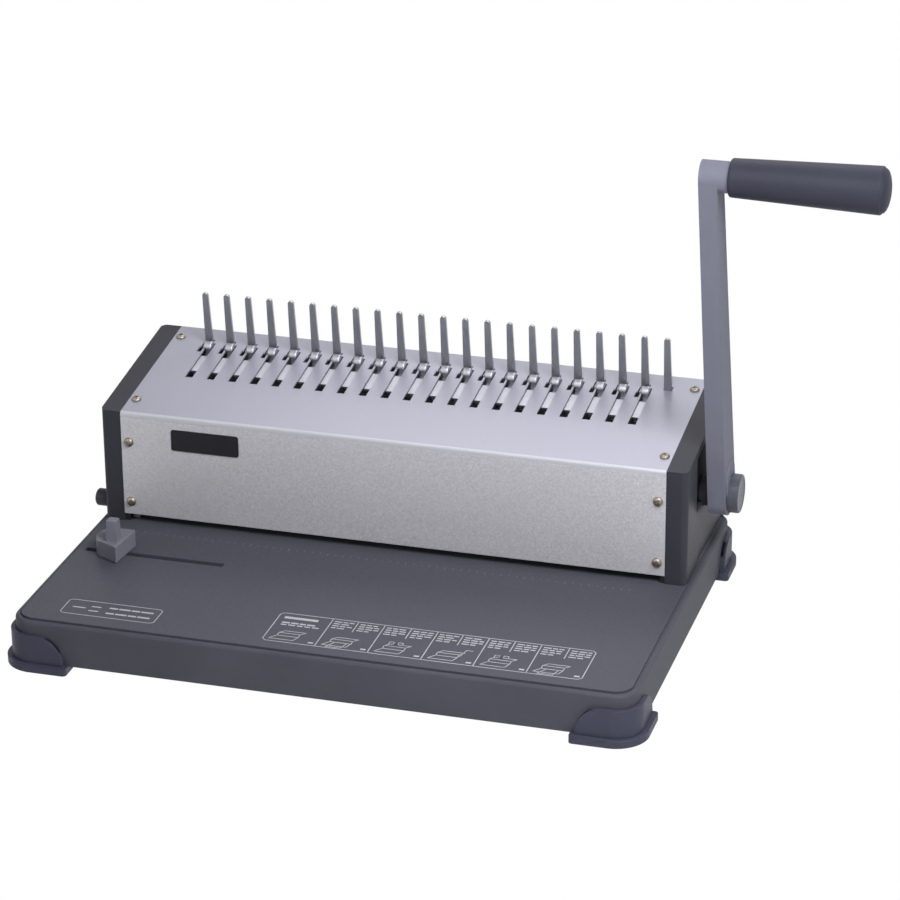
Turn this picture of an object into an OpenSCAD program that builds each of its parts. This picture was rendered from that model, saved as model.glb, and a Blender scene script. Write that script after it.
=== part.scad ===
// Comb binding machine: a sloped steel body on a flat base, with an upright comb of fixed fingers,
// a rake of ring hooks, a row of punches and one long handle at the right that drives them both.
// Origin: middle of the whole object's box, on the table. X runs along the comb, the front is -Y, Z is up.

/* [Base] */
// Width of the base
base_w = 380; // [370:1:400]
// Depth of the base, front to back
base_d = 262; // [250:1:290]
// Radius of the base's corners
base_r = 14; // [10:1:18]
// Height of the base's lower edge above the table
base_lift = 4; // [3.5:0.5:8]
// Height of the base's wall
base_h = 27.5; // [26:0.5:34]
// Thickness of the base's wall
base_wall = 2.5; // [2:0.1:3]
// Thickness of the base's top web
web_t = 2.5; // [2:0.1:3]
// Thickness of the steel deck plate
deck_t = 1.5; // [1:0.1:2]
// Width of the groove between the deck plate and the base's rim
groove_w = 1.2; // [1:0.1:3]
// How far the rim stays below the deck
rim_drop = 1.2; // [0.2:0.1:1.4]
// Thickness of the steel bottom plate
bottom_t = 1.5; // [1:0.1:2]

/* [Feet] */
// Length of each foot along a side
foot_len = 34; // [30:1:42]
// Height of the foot's wall
foot_wall_h = 22; // [20:1:28]
// Thickness of the foot's wall
foot_t = 3; // [2:0.5:4]
// Height of the lip round the foot
foot_lip_h = 4.5; // [2:0.5:5]
// How far the lip stands out from the foot's wall
foot_lip = 3; // [1.5:0.5:4]
// Length of the round shoulders of the foot's wall
foot_arch = 15; // [8:1:18]

/* [Body] */
// Distance from the base's side to the body's side
side_gap = 3.7; // [3:0.1:6]
// Depth of the body, front to back
body_d = 111; // [109:0.5:114]
// Distance from the body's back to the base's back edge
rear_gap = 3.6; // [3:0.1:6]
// Height of the body's front top edge above the deck
front_h = 73.8; // [72:0.1:78]
// Height of the body's back top edge above the deck
back_h = 88.5; // [86:0.1:92]
// Thickness of each end cap
cap_t = 13.2; // [12.8:0.1:14]
// Wall thickness of the end caps
cap_wall = 2.5; // [2:0.1:2.6]
// Thickness of the cover sheets
sheet_t = 1; // [0.8:0.1:1.4]
// Height of the paper throat under the front panel
throat_h = 5; // [4.8:0.1:7]
// Height of the top cover's folded front edge
fold_h = 3.2; // [2.5:0.1:4]
// Thickness of the steel side frames
frame_t = 3; // [2.5:0.1:3.2]
// Thickness of the side frames' flanges
flange_t = 2; // [1.5:0.1:2.2]

/* [Comb] */
// Least distance from the body's side to the middle of the first finger; it sets how many fingers fit
comb_end = 31; // [28:0.5:40]
// Distance between neighbouring fingers, 9/16 inch
pitch = 14.2875; // [14.2:0.0125:14.3]
// Middle of the finger row, from the middle of the base
comb_x = 2; // [-1:0.1:3]
// Width of a finger at its foot
finger_w = 5; // [4.6:0.1:5.4]
// Width of a finger at its tip
finger_tip_w = 3.8; // [3.4:0.1:4.4]
// Thickness of the finger sheet
finger_t = 2; // [1.5:0.1:2.2]
// Height of the finger tips above the cover
finger_h = 36; // [28:1:40]
// Inner radius of the bend at a finger's foot
finger_bend = 1; // [0.5:0.1:2]
// Distance down the slope from the back edge to the fingers' front face
finger_back = 17.6; // [16:0.1:18]
// How far the hook slots stand to the right of the fingers
slot_x = 2.1; // [2:0.1:2.4]
// Width of a hook slot
slot_w = 5; // [4.8:0.1:5.2]
// Length of a hook slot, from its front end to the fingers' front face
slot_len = 44.8; // [43:0.1:46]
// Width of the relief slots
relief_w = 0.9; // [0.8:0.1:1.2]
// Width of the hole at a relief slot's front end
relief_hole_w = 2.8; // [2:0.1:3]
// Length of the hole at a relief slot's front end
relief_hole_len = 6.5; // [5:0.5:8]
// How far the relief slots stand to the left of the fingers
relief_x = 3; // [2.9:0.1:3.4]

/* [Hooks] */
// Width of a hook's blade
hook_w = 4.8; // [4.2:0.1:5]
// Thickness of a hook's blade
hook_t = 1.5; // [1.2:0.1:1.6]
// Distance from a slot's front end to its blade at rest
hook_gap = 10.7; // [9:0.1:11]
// Length of a hook's blade
hook_len = 19.4; // [18:0.2:20]
// Distance from the middle of the hooks' tips at rest to the fingers' front face
tip_gap = 4.6; // [4.4:0.1:6]
// Thickness of a hook's tip
tip_t = 7; // [5:0.1:7.4]
// Width of a hook's tip
tip_w = 5.4; // [4.4:0.1:5.8]
// Height of the hooks' tips above the cover
tip_h = 3.6; // [2.5:0.1:3.8]
// How far the tips stand to the left of their slots
tip_x = 0.6; // [0:0.1:0.8]
// Throw of the cranks that move the hooks
crank_r = 19.7; // [18:0.1:20]
// Diameter of the rake's guide rods
rod_d = 6; // [5:0.5:6]

/* [Punch] */
// Width of a punch, along the comb
pin_w = 8; // [7:0.1:8.4]
// Depth of a punch
pin_d = 3; // [2.5:0.1:3.4]
// Throw of the cams that press the punch bar
cam_e = 7; // [6.5:0.1:7.2]
// Radius of the cams
cam_r = 16; // [15.6:0.1:16.4]
// Thickness of the die plate
die_t = 4; // [3.5:0.1:4]
// Height of the paper gap over the die plate
paper_gap = 3; // [2.8:0.1:3.2]
// Thickness of the punch guide plate
guide_t = 7; // [6:0.1:7.2]
// Height of the punch bar
bar_h = 9; // [8:0.1:9]
// Diameter of the posts that guide the punch bar
post_d = 6; // [5:0.5:6]

/* [Handle] */
// Distance from the body's back forward to the shaft
shaft_back = 59; // [58:0.5:60]
// Height of the shaft above the deck
shaft_h = 41; // [40.5:0.1:42]
// Diameter of the main shaft
shaft_d = 12; // [10:0.5:12]
// Length of the arm from the shaft to the grip
arm_len = 226; // [190:1:240]
// Forward lean of the arm at rest, degrees
arm_lean = 13.5; // [5:0.5:15]
// Thickness of the arm
arm_t = 11; // [8:0.5:14]
// Width of the arm at the shaft
arm_w = 28; // [24:1:32]
// Width of the arm at the grip
arm_tip_w = 18.4; // [16:0.2:22]
// Gap between the end cap and the arm
arm_gap = 4; // [3:0.5:6]
// Length of the bare stub between the arm and the grip
stub_len = 6; // [5:0.5:12]
// Length of the grip
grip_len = 92; // [80:1:100]
// Diameter of the grip at its inner end
grip_d = 22.6; // [20:0.2:26]
// Diameter of the grip at its outer end
grip_end_d = 28; // [26:0.2:32]
// Diameter of the rod inside the grip
grip_rod_d = 12; // [10:0.5:13]
// Diameter of the cap over the shaft's end
hub_d = 24; // [20:1:28]
// Height of the cap over the shaft's end
hub_h = 7; // [4:0.5:10]
// Turn of the handle from rest to the full stroke, degrees
handle_turn = 75; // [70:1:76]

/* [Adjusters] */
// Distance from the front panel back to the margin knob
knob_y = 12; // [11:0.5:14]
// Height of the margin knob above the deck
knob_h = 8.5; // [8.5:0.5:11]
// Diameter of the margin knob
knob_d = 11; // [10:0.2:13]
// Length of the margin knob
knob_len = 9.5; // [7:0.5:14]
// Throw of the margin knob's crank pin
knob_r = 2.5; // [1.5:0.1:2.6]
// Width of the edge guide's slot
guide_slot_w = 4.6; // [4:0.1:5]
// Length of the edge guide's slot
guide_slot_len = 89.5; // [80:0.5:120]
// Distance from the base's left edge to the slot
guide_slot_x = 9; // [8:0.5:12]
// Distance from the front panel forward to the slot
guide_slot_y = 46; // [42:1:60]
// Height of the edge guide's block
guide_h = 11; // [9:0.5:13]
// Height of the edge guide's thumb post above the deck
guide_post_h = 25; // [22:1:32]

/* [Chip drawer] */
// Width of the chip drawer
drawer_w = 50; // [46:1:52]
// Depth of the chip drawer's box
drawer_h = 16; // [12:0.5:16]
// Wall thickness of the chip drawer
drawer_wall = 1.6; // [1.2:0.1:2.4]

/* [Hidden] */
$fn = 48;
eps = 0.02;
fit = 0.05;        // radial clearance of a shaft in its bore
loose = 0.3;       // clearance between parts that move past each other

// Levels and planes
deck_z = base_lift + base_h;
web_top = deck_z - deck_t;
web_low = web_top - web_t;
body_w = base_w - 2 * side_gap;
body_back = base_d / 2 - rear_gap;
body_front = body_back - body_d;
tall = 2 * back_h;   // reach of a cut that passes over the whole body
cover_w = body_w - 2 * cap_t;
frame_in = cover_w / 2 - frame_t;
slope = atan2(back_h - front_h, body_d);
slope_len = body_d / cos(slope);

// Places along the slope, from its front edge
relief_len = 12;
finger_root = slope_len - finger_back;
slot_front = finger_root - slot_len;
hook_front = slot_front + hook_gap;
hook_back = hook_front + hook_len;
tip_v = finger_root - tip_gap;

// Shaft, cams and cranks: both throws swing evenly about their middle position
shaft_y = body_d - shaft_back;
sy = body_front + shaft_y;
sz = deck_z + shaft_h;
half_turn = handle_turn / 2;
stroke = 2 * cam_e * sin(half_turn);
cam_gap = 0.5;
bar_top = sz + cam_e * sin(half_turn) - cam_r - cam_gap;
punch_y = sy - cam_e * 0.9;
cam_in = 50.1;       // from the side frames in to the cams
crank_in = 70.1;     // from the side frames in to the rake's forks
cam_x = frame_in - cam_in;
crank_x = frame_in - crank_in;

// Hook slots and punches share one set of places
finger_n = 1 + floor((body_w - 2 * comb_end) / pitch);
slot_n = finger_n - 1;
function finger_at(i) = comb_x + (i - (finger_n - 1) / 2) * pitch;
function slot_at(i) = finger_at(i) + slot_x;

// Paper that fits between the legs of the punch guide
paper_left = slot_at(0) - 5.6;
paper_right = slot_at(slot_n - 1) + 5.6;
leg_t = 3;

// Posts, springs and the ends of the punch bar
post_x = frame_in - 9;
post_y = punch_y - 2;
die_y0 = punch_y - 12;
die_y1 = punch_y + 12;
die_x = frame_in - 3;
die_hole = 0.1;
guide_x = post_x - 5.5;
guide_z = deck_z + paper_gap;
bar_d = 12;
bar_x = frame_in - 4;
spring_d = 9.6;
spring_wire = 1.2;

// Rake, in the sloped frame of the cover: v up the slope, w square to it
shaft_v = shaft_y * cos(slope) + (shaft_h - front_h) * sin(slope);
shaft_w = -shaft_y * sin(slope) + (shaft_h - front_h) * cos(slope);
rake_travel = 2 * crank_r * sin(half_turn);
crank_pin_d = 6;
fork_slot = crank_pin_d / 2 + 0.6;   // half the width of the slot that the crank's pin runs in
hook_w_top = -sheet_t - loose;
rake_v = shaft_v + crank_r * sin(half_turn);
rake_bar_w = -5 - sheet_t;
rake_bar_h = 6;
rod_w = hook_w_top - 6.9;
rake_rod_x = frame_in - 10;
rake_end_h = 9.6;
rake_end_l = 16;
bracket_w = 15;
bracket_l = 6;
rod_v0 = 20;
rod_v1 = slope_len - 6;
arm_h = 2;
stem_w = slot_w - 1.4;

// Screws
foot_gap = 0.1;
foot_recess = 2.4;
screw_d = 3;
screw_x = cover_w / 2 - 4.8;
screw_head_d = 6;
screw_head_h = 2;
flange_w = 9;

// Fixings between the frames and in the end caps: in from the body's front or back, then down from
// the edge there
tie_front = [10, 17.8];
tie_rear = [14, 26.5];
tie_low = [14, 20];      // this one is up from the deck
cap_screw_front = [32, 9.8];
cap_screw_rear = [30, 54.5];
foot_post = [frame_in - 6, 12, 20];   // screws of the frames' feet: x, in from the back, and apart

// Swing pocket in the right end cap, and the spacer in it
pocket_t = 4;
pocket_y = 26;       // from the body's front back to the pocket
low_recess_y = 32;   // from the body's front back to the low shallow recess
spacer_d = 19;

// Drawer
drawer_y = punch_y;
drawer_z = base_lift + bottom_t + 1.5;
drawer_x0 = -base_w / 2;
drawer_x1 = paper_right + 8;

// Lengths below are drawn from the middle of the base; place() moves them to the object's origin
reach_right = body_w / 2 + arm_gap + arm_t + stub_len + grip_len;
reach_left = max(body_w / 2 + knob_len, base_w / 2 + foot_gap + foot_t + foot_lip);
module place() translate([(reach_left - reach_right) / 2, 0, 0]) children();

steel = "#9a9ca3";
bright = "#c9c9d2";
dark = "#3c3e47";
charcoal = "#4c4d56";
zinc = "#b9b9bd";

// ---- Shapes that several parts share ----

// Rectangle with round corners
module round_rect(w, d, r) {
    square([w - 2 * r, d], center = true);
    square([w, d - 2 * r], center = true);
    for (x = [-1, 1], y = [-1, 1]) translate([x * (w / 2 - r), y * (d / 2 - r)]) circle(r, $fn = 64);
}

// The sloped frame of the top cover: x along the comb, y up the slope, z square to the cover
module on_slope() {
    translate([0, body_front, deck_z + front_h]) rotate([slope, 0, 0]) children();
}

// A cylinder along X from x0 to x1
module rod_x(x0, x1, y, z, d) {
    translate([x0, y, z]) rotate([0, 90, 0]) cylinder(h = x1 - x0, d = d);
}

// Box from one corner to the other
module block(a, b) { translate(a) cube(b - a); }

// Side outline of the body, drawn in y and z, moved in by a wall
module body_outline(inset, floor_inset) {
    y0 = body_front + inset;
    y1 = body_back - inset;
    drop = inset / cos(slope);
    function top(y) = deck_z + front_h + (y - body_front) * tan(slope) - drop;
    polygon([[y0, deck_z + floor_inset], [y1, deck_z + floor_inset], [y1, top(y1)], [y0, top(y0)]]);
}

// The side outline as a plate standing across X
module side_plate(x0, x1, inset, floor_inset) {
    translate([x0, 0, 0]) rotate([90, 0, 90]) linear_extrude(x1 - x0) body_outline(inset, floor_inset);
}

// Cross-head screw: the head's seat is at the origin and the shank points to -Z
module pan_screw(len, d = screw_d, head = screw_head_d, head_h = screw_head_h) {
    difference() {
        union() {
            translate([0, 0, -len]) cylinder(h = len + eps, d = d);
            cylinder(h = head_h * 0.55, d = head);
            translate([0, 0, head_h * 0.55]) cylinder(h = head_h * 0.45, d1 = head, d2 = head * 0.66);
        }
        for (a = [0, 90]) rotate(a) translate([-head * 0.28, -0.35, head_h * 0.55])
            cube([head * 0.56, 0.7, head_h]);
    }
}

// The places of the twelve cover screws, each with its seat outwards
module at_cover_screws() {
    for (x = [-screw_x, screw_x]) {
        on_slope() for (v = [16.3, slope_len - 14]) translate([x, v, 0]) children();
        for (z = [throat_h + 8.6, front_h - 20]) {
            translate([x, body_front, deck_z + z]) rotate([90, 0, 0]) children();
            translate([x, body_back, deck_z + z]) rotate([-90, 0, 0]) children();
        }
    }
}

// The middles of the base's four round corners, where the feet are screwed on
module at_corners() for (x = [-1, 1], y = [-1, 1])
    translate([x * (base_w / 2 - base_r), y * (base_d / 2 - base_r), 0]) children();

// The places of the screws that hold the side frames' feet
module at_frame_feet() for (x = [-1, 1], y = [0, 1])
    translate([x * foot_post[0], body_back - foot_post[1] - y * foot_post[2], 0]) children();

// ---- Base ----

module base_tray() color(charcoal) place() difference() {
    union() {
        translate([0, 0, base_lift]) linear_extrude(base_h - rim_drop) difference() {
            round_rect(base_w, base_d, base_r);
            round_rect(base_w - 2 * base_wall, base_d - 2 * base_wall, base_r - base_wall);
        }
        translate([0, 0, web_low]) linear_extrude(web_t)
            round_rect(base_w - base_wall, base_d - base_wall, base_r - base_wall / 2);
        for (y = [die_y0, die_y1]) block([-frame_in, y - 2, web_low - 4], [frame_in, y + 2, web_low + eps]);
        at_corners() translate([0, 0, base_lift + bottom_t])
            cylinder(h = web_low - base_lift - bottom_t + eps, d = 10);
    }
    block([-die_x, die_y0, web_low - eps], [die_x, die_y1, web_top + eps]);
    guide_slot_cut(web_low - eps, web_top + eps);
    block([-base_w / 2 - eps, drawer_y - drawer_w / 2 - 1, base_lift + bottom_t + 1],
        [-base_w / 2 + base_wall + eps, drawer_y + drawer_w / 2 + 1, web_low - 1]);
    at_corners() translate([0, 0, base_lift + bottom_t - eps]) cylinder(h = 11, d = 4 + 2 * fit);
    at_frame_feet() translate([0, 0, web_low - eps]) cylinder(h = web_t + 1, d = 3.4);
}

module guide_slot_cut(z0, z1) {
    x0 = -base_w / 2 + guide_slot_x;
    y = body_front - guide_slot_y;
    block([x0, y - guide_slot_w / 2, z0], [x0 + guide_slot_len, y + guide_slot_w / 2, z1]);
}

module deck_plate() color(charcoal) place() difference() {
    translate([0, 0, web_top]) linear_extrude(deck_t)
        round_rect(base_w - 2 * (base_wall + groove_w), base_d - 2 * (base_wall + groove_w),
            base_r - base_wall - groove_w);
    block([-die_x, die_y0, web_top - eps], [die_x, die_y1, deck_z + eps]);
    guide_slot_cut(web_top - eps, deck_z + eps);
    at_frame_feet() translate([0, 0, web_top - eps]) cylinder(h = deck_t + 1, d = 3.4);
}

module bottom_plate() color(steel) place() difference() {
    translate([0, 0, base_lift]) linear_extrude(bottom_t)
        round_rect(base_w - 2 * base_wall, base_d - 2 * base_wall, base_r - base_wall);
    at_corners() translate([0, 0, base_lift - eps]) cylinder(h = bottom_t + 1, d = 4.6);
}

// One foot, for the corner at +X and +Y
module foot() {
    out = foot_t + foot_gap;
    arch_h = foot_wall_h - foot_lip_h;
    arch_n = 12;
    // what is cut from one end of the wall, in the wall's own plane: the space over a quarter of an ellipse
    arch = concat([[-1, foot_wall_h + 1], [-1, foot_lip_h], [0, foot_lip_h]],
        [for (i = [1 : arch_n]) let (a = 90 * i / arch_n)
            [foot_arch * (1 - cos(a)), foot_lip_h + arch_h * sin(a)]],
        [[foot_arch, foot_wall_h + 1]]);
    inner = [base_w / 2 - foot_len, base_d / 2 - foot_len];
    difference() {
        union() {
            intersection() {
                linear_extrude(foot_wall_h) round_rect(base_w + 2 * out, base_d + 2 * out, base_r + out);
                block([inner[0], inner[1], -eps], [base_w, base_d, foot_wall_h + 1]);
            }
            intersection() {
                linear_extrude(foot_lip_h) round_rect(base_w + 2 * (out + foot_lip),
                    base_d + 2 * (out + foot_lip), base_r + out + foot_lip);
                block([inner[0] - foot_lip, inner[1] - foot_lip, -eps], [base_w, base_d, foot_wall_h]);
            }
        }
        translate([0, 0, base_lift]) linear_extrude(foot_wall_h)
            round_rect(base_w + 2 * foot_gap, base_d + 2 * foot_gap, base_r + foot_gap);
        // round shoulders at the two ends of the wall
        translate([inner[0], base_d / 2 + foot_len, 0]) rotate([90, 0, 0]) linear_extrude(foot_len + 1)
            polygon(arch);
        translate([base_w / 2 - 1, inner[1], 0]) rotate([90, 0, 90]) linear_extrude(foot_len + 1)
            polygon(arch);
        // recess and hole for the screw
        translate([base_w / 2 - base_r, base_d / 2 - base_r, -eps]) cylinder(h = foot_recess, d = 10);
        translate([base_w / 2 - base_r, base_d / 2 - base_r, -eps]) cylinder(h = base_lift + 1, d = 4.6);
    }
}

module foot_at(right, back) color("#3b3f4c") place()
    mirror([right ? 0 : 1, 0, 0]) mirror([0, back ? 0 : 1, 0]) foot();
module foot_front_left() foot_at(false, false);
module foot_front_right() foot_at(true, false);
module foot_rear_left() foot_at(false, true);
module foot_rear_right() foot_at(true, true);

module foot_screws() color(zinc) place() at_corners() translate([0, 0, foot_recess - eps]) rotate([180, 0, 0])
    pan_screw(13, 4, 8, 2);

// ---- Frame and covers ----

module side_frame(right) {
    x0 = right ? frame_in : -frame_in - frame_t;
    xf = right ? frame_in - flange_w : -frame_in;
    color(steel) place() difference() {
        union() {
            side_plate(x0, x0 + frame_t, sheet_t, 0);
            intersection() {
                side_plate(xf, xf + flange_w, sheet_t, throat_h + 1);
                union() {
                    block([xf, body_front, deck_z],
                        [xf + flange_w, body_front + sheet_t + flange_t, deck_z + tall]);
                    block([xf, body_back - sheet_t - flange_t, deck_z],
                        [xf + flange_w, body_back, deck_z + tall]);
                    on_slope() block([xf + (right ? 2 : 0), 0, -sheet_t - flange_t],
                        [xf + flange_w - (right ? 0 : 2), slope_len, 1]);
                }
            }
            xb = right ? frame_in - 12 : -frame_in;
            block([xb, body_back - 40, deck_z], [xb + 12, body_back - 6, deck_z + flange_t]);
        }
        rod_x(x0 - 1, x0 + frame_t + 1, sy, sz, 18);
        if (!right) rod_x(x0 - 1, x0 + frame_t + 1, body_front + knob_y, deck_z + knob_h, 6 + 2 * fit);
        at_cover_screws() translate([0, 0, -8]) cylinder(h = 9, d = screw_d + 0.1);
        at_tie_rods() rod_x(x0 - 1, x0 + frame_t + 1, 0, 0, 4.4);
        at_cap_screws() rod_x(x0 - 1, x0 + frame_t + 1, 0, 0, 3.4);
        at_frame_feet() translate([0, 0, deck_z - 1]) cylinder(h = flange_t + 3, d = 3.1);
    }
}
module left_side_frame() side_frame(false);
module right_side_frame() side_frame(true);

module at_tie_rods() for (p = [[body_front + tie_front[0], deck_z + front_h - tie_front[1]],
        [body_back - tie_rear[0], deck_z + back_h - tie_rear[1]],
        [body_back - tie_low[0], deck_z + tie_low[1]]])
    translate([0, p[0], p[1]]) children();

module at_cap_screws() for (p = [[body_front + cap_screw_front[0], deck_z + front_h - cap_screw_front[1]],
        [body_back - cap_screw_rear[0], deck_z + back_h - cap_screw_rear[1]]])
    translate([0, p[0], p[1]]) children();

module tie_rods() color(zinc) place() difference() {
    at_tie_rods() rod_x(-frame_in, frame_in, 0, 0, 8);
    at_tie_rods() for (x = [-frame_in - eps, frame_in - 12]) rod_x(x, x + 12 + eps, 0, 0, 4.1);
}

module tie_screws() color(zinc) place() at_tie_rods() for (s = [-1, 1])
    translate([s * (frame_in + frame_t), 0, 0]) rotate([0, s * 90, 0]) pan_screw(12, 4, 7, 2.2);

module cap_screws() color(zinc) place() at_cap_screws() for (s = [-1, 1])
    translate([s * frame_in, 0, 0]) rotate([0, -s * 90, 0]) pan_screw(8, 3, 6, 2);

module base_screws() color(zinc) place() at_frame_feet() translate([0, 0, web_low]) rotate([180, 0, 0])
    pan_screw(web_t + deck_t + flange_t - 0.1);

// An end cap: a hollow moulding with a round front corner, drawn for the right side
module end_cap_shell() {
    x0 = cover_w / 2;
    x1 = body_w / 2;
    soft = 4;
    hollow = cap_t - 4 - cap_wall;
    difference() {
        intersection() {
            side_plate(x0, x1, 0, 0);
            union() {
                block([x0, body_front - 1, deck_z - 1], [x1 - soft, body_back + 1, deck_z + tall]);
                block([x0, body_front + soft, deck_z - 1], [x1 + 1, body_back - soft, deck_z + tall]);
                for (y = [body_front + soft, body_back - soft])
                    translate([x1 - soft, y, deck_z - 1]) cylinder(h = tall, r = soft);
            }
        }
        difference() {
            side_plate(x0 - eps, x0 + hollow, cap_wall, cap_wall);
            at_cap_screws() rod_x(x0 - 1, x1, 0, 0, 8);
        }
        at_cap_screws() rod_x(x0 - 1, x0 + hollow + 1, 0, 0, 3 + 2 * fit);
    }
}

module right_end_cap() color(dark) place() difference() {
    end_cap_shell();
    x1 = body_w / 2;
    // swing pocket for the arm's hub, over a raised pad low down at the front
    intersection() {
        side_plate(x1 - pocket_t, x1 + 1, 5, shaft_h - 4);
        block([x1 - 5, body_front + pocket_y, deck_z], [x1 + 2, body_back - 4, deck_z + tall]);
    }
    block([x1 - 1.2, body_front + low_recess_y, deck_z - 1],
        [x1 + 1, body_back - 6, deck_z + shaft_h - 9]);
    rod_x(x1 - cap_t, x1 + 1, sy, sz, shaft_d + 1.2);
    rod_x(x1 - pocket_t, x1 + 1, sy, sz, spacer_d + 2);
}

module left_end_cap() color(dark) place() difference() {
    mirror([1, 0, 0]) end_cap_shell();
    rod_x(-body_w / 2 - 1, -cover_w / 2 + 1, body_front + knob_y, deck_z + knob_h, 6 + 2 * fit);
}

module cover_cuts() {
    deep = -sheet_t - 1;
    for (i = [0 : finger_n - 1]) {
        translate([finger_at(i) - finger_w / 2 - loose, finger_root - loose, deep])
            cube([finger_w + 2 * loose, finger_t + finger_bend + 2, 4]);
        if (i < slot_n) {
            translate([slot_at(i) - slot_w / 2, slot_front, deep]) cube([slot_w, slot_len, 4]);
            translate([finger_at(i) - relief_x - relief_w / 2, finger_root - relief_len + 1, deep])
                cube([relief_w, relief_len, 4]);
            translate([finger_at(i) - relief_x - relief_hole_w / 2, finger_root - relief_len, deep])
                cube([relief_hole_w, relief_hole_len, 4]);
        }
    }
}

module top_cover() color(bright) place() difference() {
    union() {
        on_slope() block([-cover_w / 2, 0, -sheet_t], [cover_w / 2, slope_len, 0]);
        block([-cover_w / 2, body_front, deck_z + front_h - fold_h],
            [cover_w / 2, body_front + sheet_t, deck_z + front_h]);
        block([-cover_w / 2, body_back - sheet_t, deck_z + back_h - fold_h - sheet_t],
            [cover_w / 2, body_back, deck_z + back_h - 0.1]);
    }
    on_slope() cover_cuts();
    on_slope() block([-cover_w, -20, 0], [cover_w, slope_len + 20, 20]);
    at_cover_screws() translate([0, 0, -8]) cylinder(h = 9, d = screw_d + 0.3);
}

module front_panel() color(bright) place() difference() {
    block([-cover_w / 2, body_front, deck_z + throat_h],
        [cover_w / 2, body_front + sheet_t, deck_z + front_h - fold_h - 0.2]);
    at_cover_screws() translate([0, 0, -8]) cylinder(h = 9, d = screw_d + 0.3);
}

module rear_panel() color(bright) place() difference() {
    block([-cover_w / 2, body_back - sheet_t, deck_z + 0.2],
        [cover_w / 2, body_back, deck_z + back_h - fold_h - sheet_t - 0.2]);
    at_cover_screws() translate([0, 0, -8]) cylinder(h = 9, d = screw_d + 0.3);
}

module cover_screws() color("#8a7a5c") place() at_cover_screws() pan_screw(flange_t + sheet_t + 1.5);

module shaft_bush(s) color("#a88f58") place() difference() {
    union() {
        rod_x(s > 0 ? frame_in : -frame_in - frame_t, s > 0 ? frame_in + frame_t : -frame_in, sy, sz, 18);
        rod_x(s > 0 ? frame_in - 2 : -frame_in, s > 0 ? frame_in : -frame_in + 2, sy, sz, 22);
    }
    rod_x(s > 0 ? frame_in - 3 : -frame_in - frame_t - 1, s > 0 ? frame_in + frame_t + 1 : -frame_in + 3,
        sy, sz, shaft_d + 2 * fit);
}
module left_shaft_bush() shaft_bush(-1);
module right_shaft_bush() shaft_bush(1);

// ---- Punch and die ----

module punch_holes(z0, z1) {
    for (i = [0 : slot_n - 1])
        block([slot_at(i) - pin_w / 2 - die_hole, punch_y - pin_d / 2 - die_hole, z0],
            [slot_at(i) + pin_w / 2 + die_hole, punch_y + pin_d / 2 + die_hole, z1]);
}

module die_plate() color(zinc) place() difference() {
    block([-die_x, die_y0, deck_z - die_t], [die_x, die_y1, deck_z]);
    punch_holes(deck_z - die_t - 1, deck_z + 1);
    for (s = [-1, 1]) translate([s * post_x, post_y, deck_z - die_t - 1]) cylinder(h = die_t + 2, d = post_d);
}

module punch_guide_plate() color(zinc) place() difference() {
    union() {
        block([-guide_x, punch_y - 10, guide_z], [guide_x, punch_y + 10, guide_z + guide_t]);
        block([-guide_x, punch_y - 10, deck_z], [-guide_x + leg_t, punch_y + 2, guide_z + eps]);
        block([guide_x - leg_t, punch_y - 10, deck_z], [guide_x, punch_y + 2, guide_z + eps]);
    }
    punch_holes(guide_z - 1, guide_z + guide_t + 1);
}

module punch_posts() color(zinc) place() for (s = [-1, 1])
    translate([s * post_x, post_y, deck_z - die_t]) cylinder(h = bar_top + 3 - deck_z + die_t, d = post_d);

// One coil spring standing on the die plate, as a swept wire with its two ends cut flat
spring_turns = 4;
spring_steps = 12;
spring_len = bar_top - bar_h - deck_z - 0.02;
module coil_spring() {
    r = (spring_d - spring_wire) / 2;
    n = spring_turns * spring_steps;
    k = 6;
    rise = spring_len - spring_wire;
    function ring(i) = let (a = 360 * i / spring_steps, z = spring_wire / 2 + rise * i / n)
        [for (j = [0 : k - 1]) let (b = 360 * j / k, q = r + spring_wire / 2 * cos(b))
            [q * cos(a), q * sin(a), z + spring_wire / 2 * sin(b)]];
    pts = [for (i = [0 : n]) each ring(i)];
    sides = [for (i = [0 : n - 1], j = [0 : k - 1]) let (a = i * k + j, b = i * k + (j + 1) % k)
        each [[a, a + k, b + k], [a, b + k, b]]];
    polyhedron(pts, concat(sides, [[for (j = [0 : k - 1]) j]], [[for (j = [k - 1 : -1 : 0]) n * k + j]]));
}

module return_springs() color(zinc) place() for (s = [-1, 1])
    translate([s * post_x, post_y, deck_z]) coil_spring();

module punch_bar() color(steel) place() difference() {
    block([-bar_x, punch_y - bar_d / 2, bar_top - bar_h], [bar_x, punch_y + bar_d / 2, bar_top]);
    for (s = [-1, 1]) translate([s * post_x, post_y, bar_top - bar_h - 1])
        cylinder(h = bar_h + 2, d = post_d + 2 * fit);
}

module punch_pins() color(zinc) place() for (i = [0 : slot_n - 1])
    block([slot_at(i) - pin_w / 2, punch_y - pin_d / 2, guide_z + 0.4],
        [slot_at(i) + pin_w / 2, punch_y + pin_d / 2, bar_top - bar_h]);

// ---- Comb and hooks ----

// Side outline of one finger, drawn up the slope and square to it: the sheet's foot and its bend
module finger_side() {
    top = -sheet_t;
    low = top - finger_t;
    out = finger_bend + finger_t;
    back = finger_root + out;
    n = 8;
    bend_out = [for (i = [0 : n]) let (a = 270 - 90 * i / n) [back + out * cos(a), low + out + out * sin(a)]];
    bend_in = [for (i = [n : -1 : 0]) let (a = 270 - 90 * i / n)
        [back + finger_bend * cos(a), low + out + finger_bend * sin(a)]];
    polygon(concat([[back + 2, low]], bend_out, [[finger_root, finger_h], [finger_root + finger_t, finger_h]],
        bend_in, [[back + 2, top]]));
}

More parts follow.
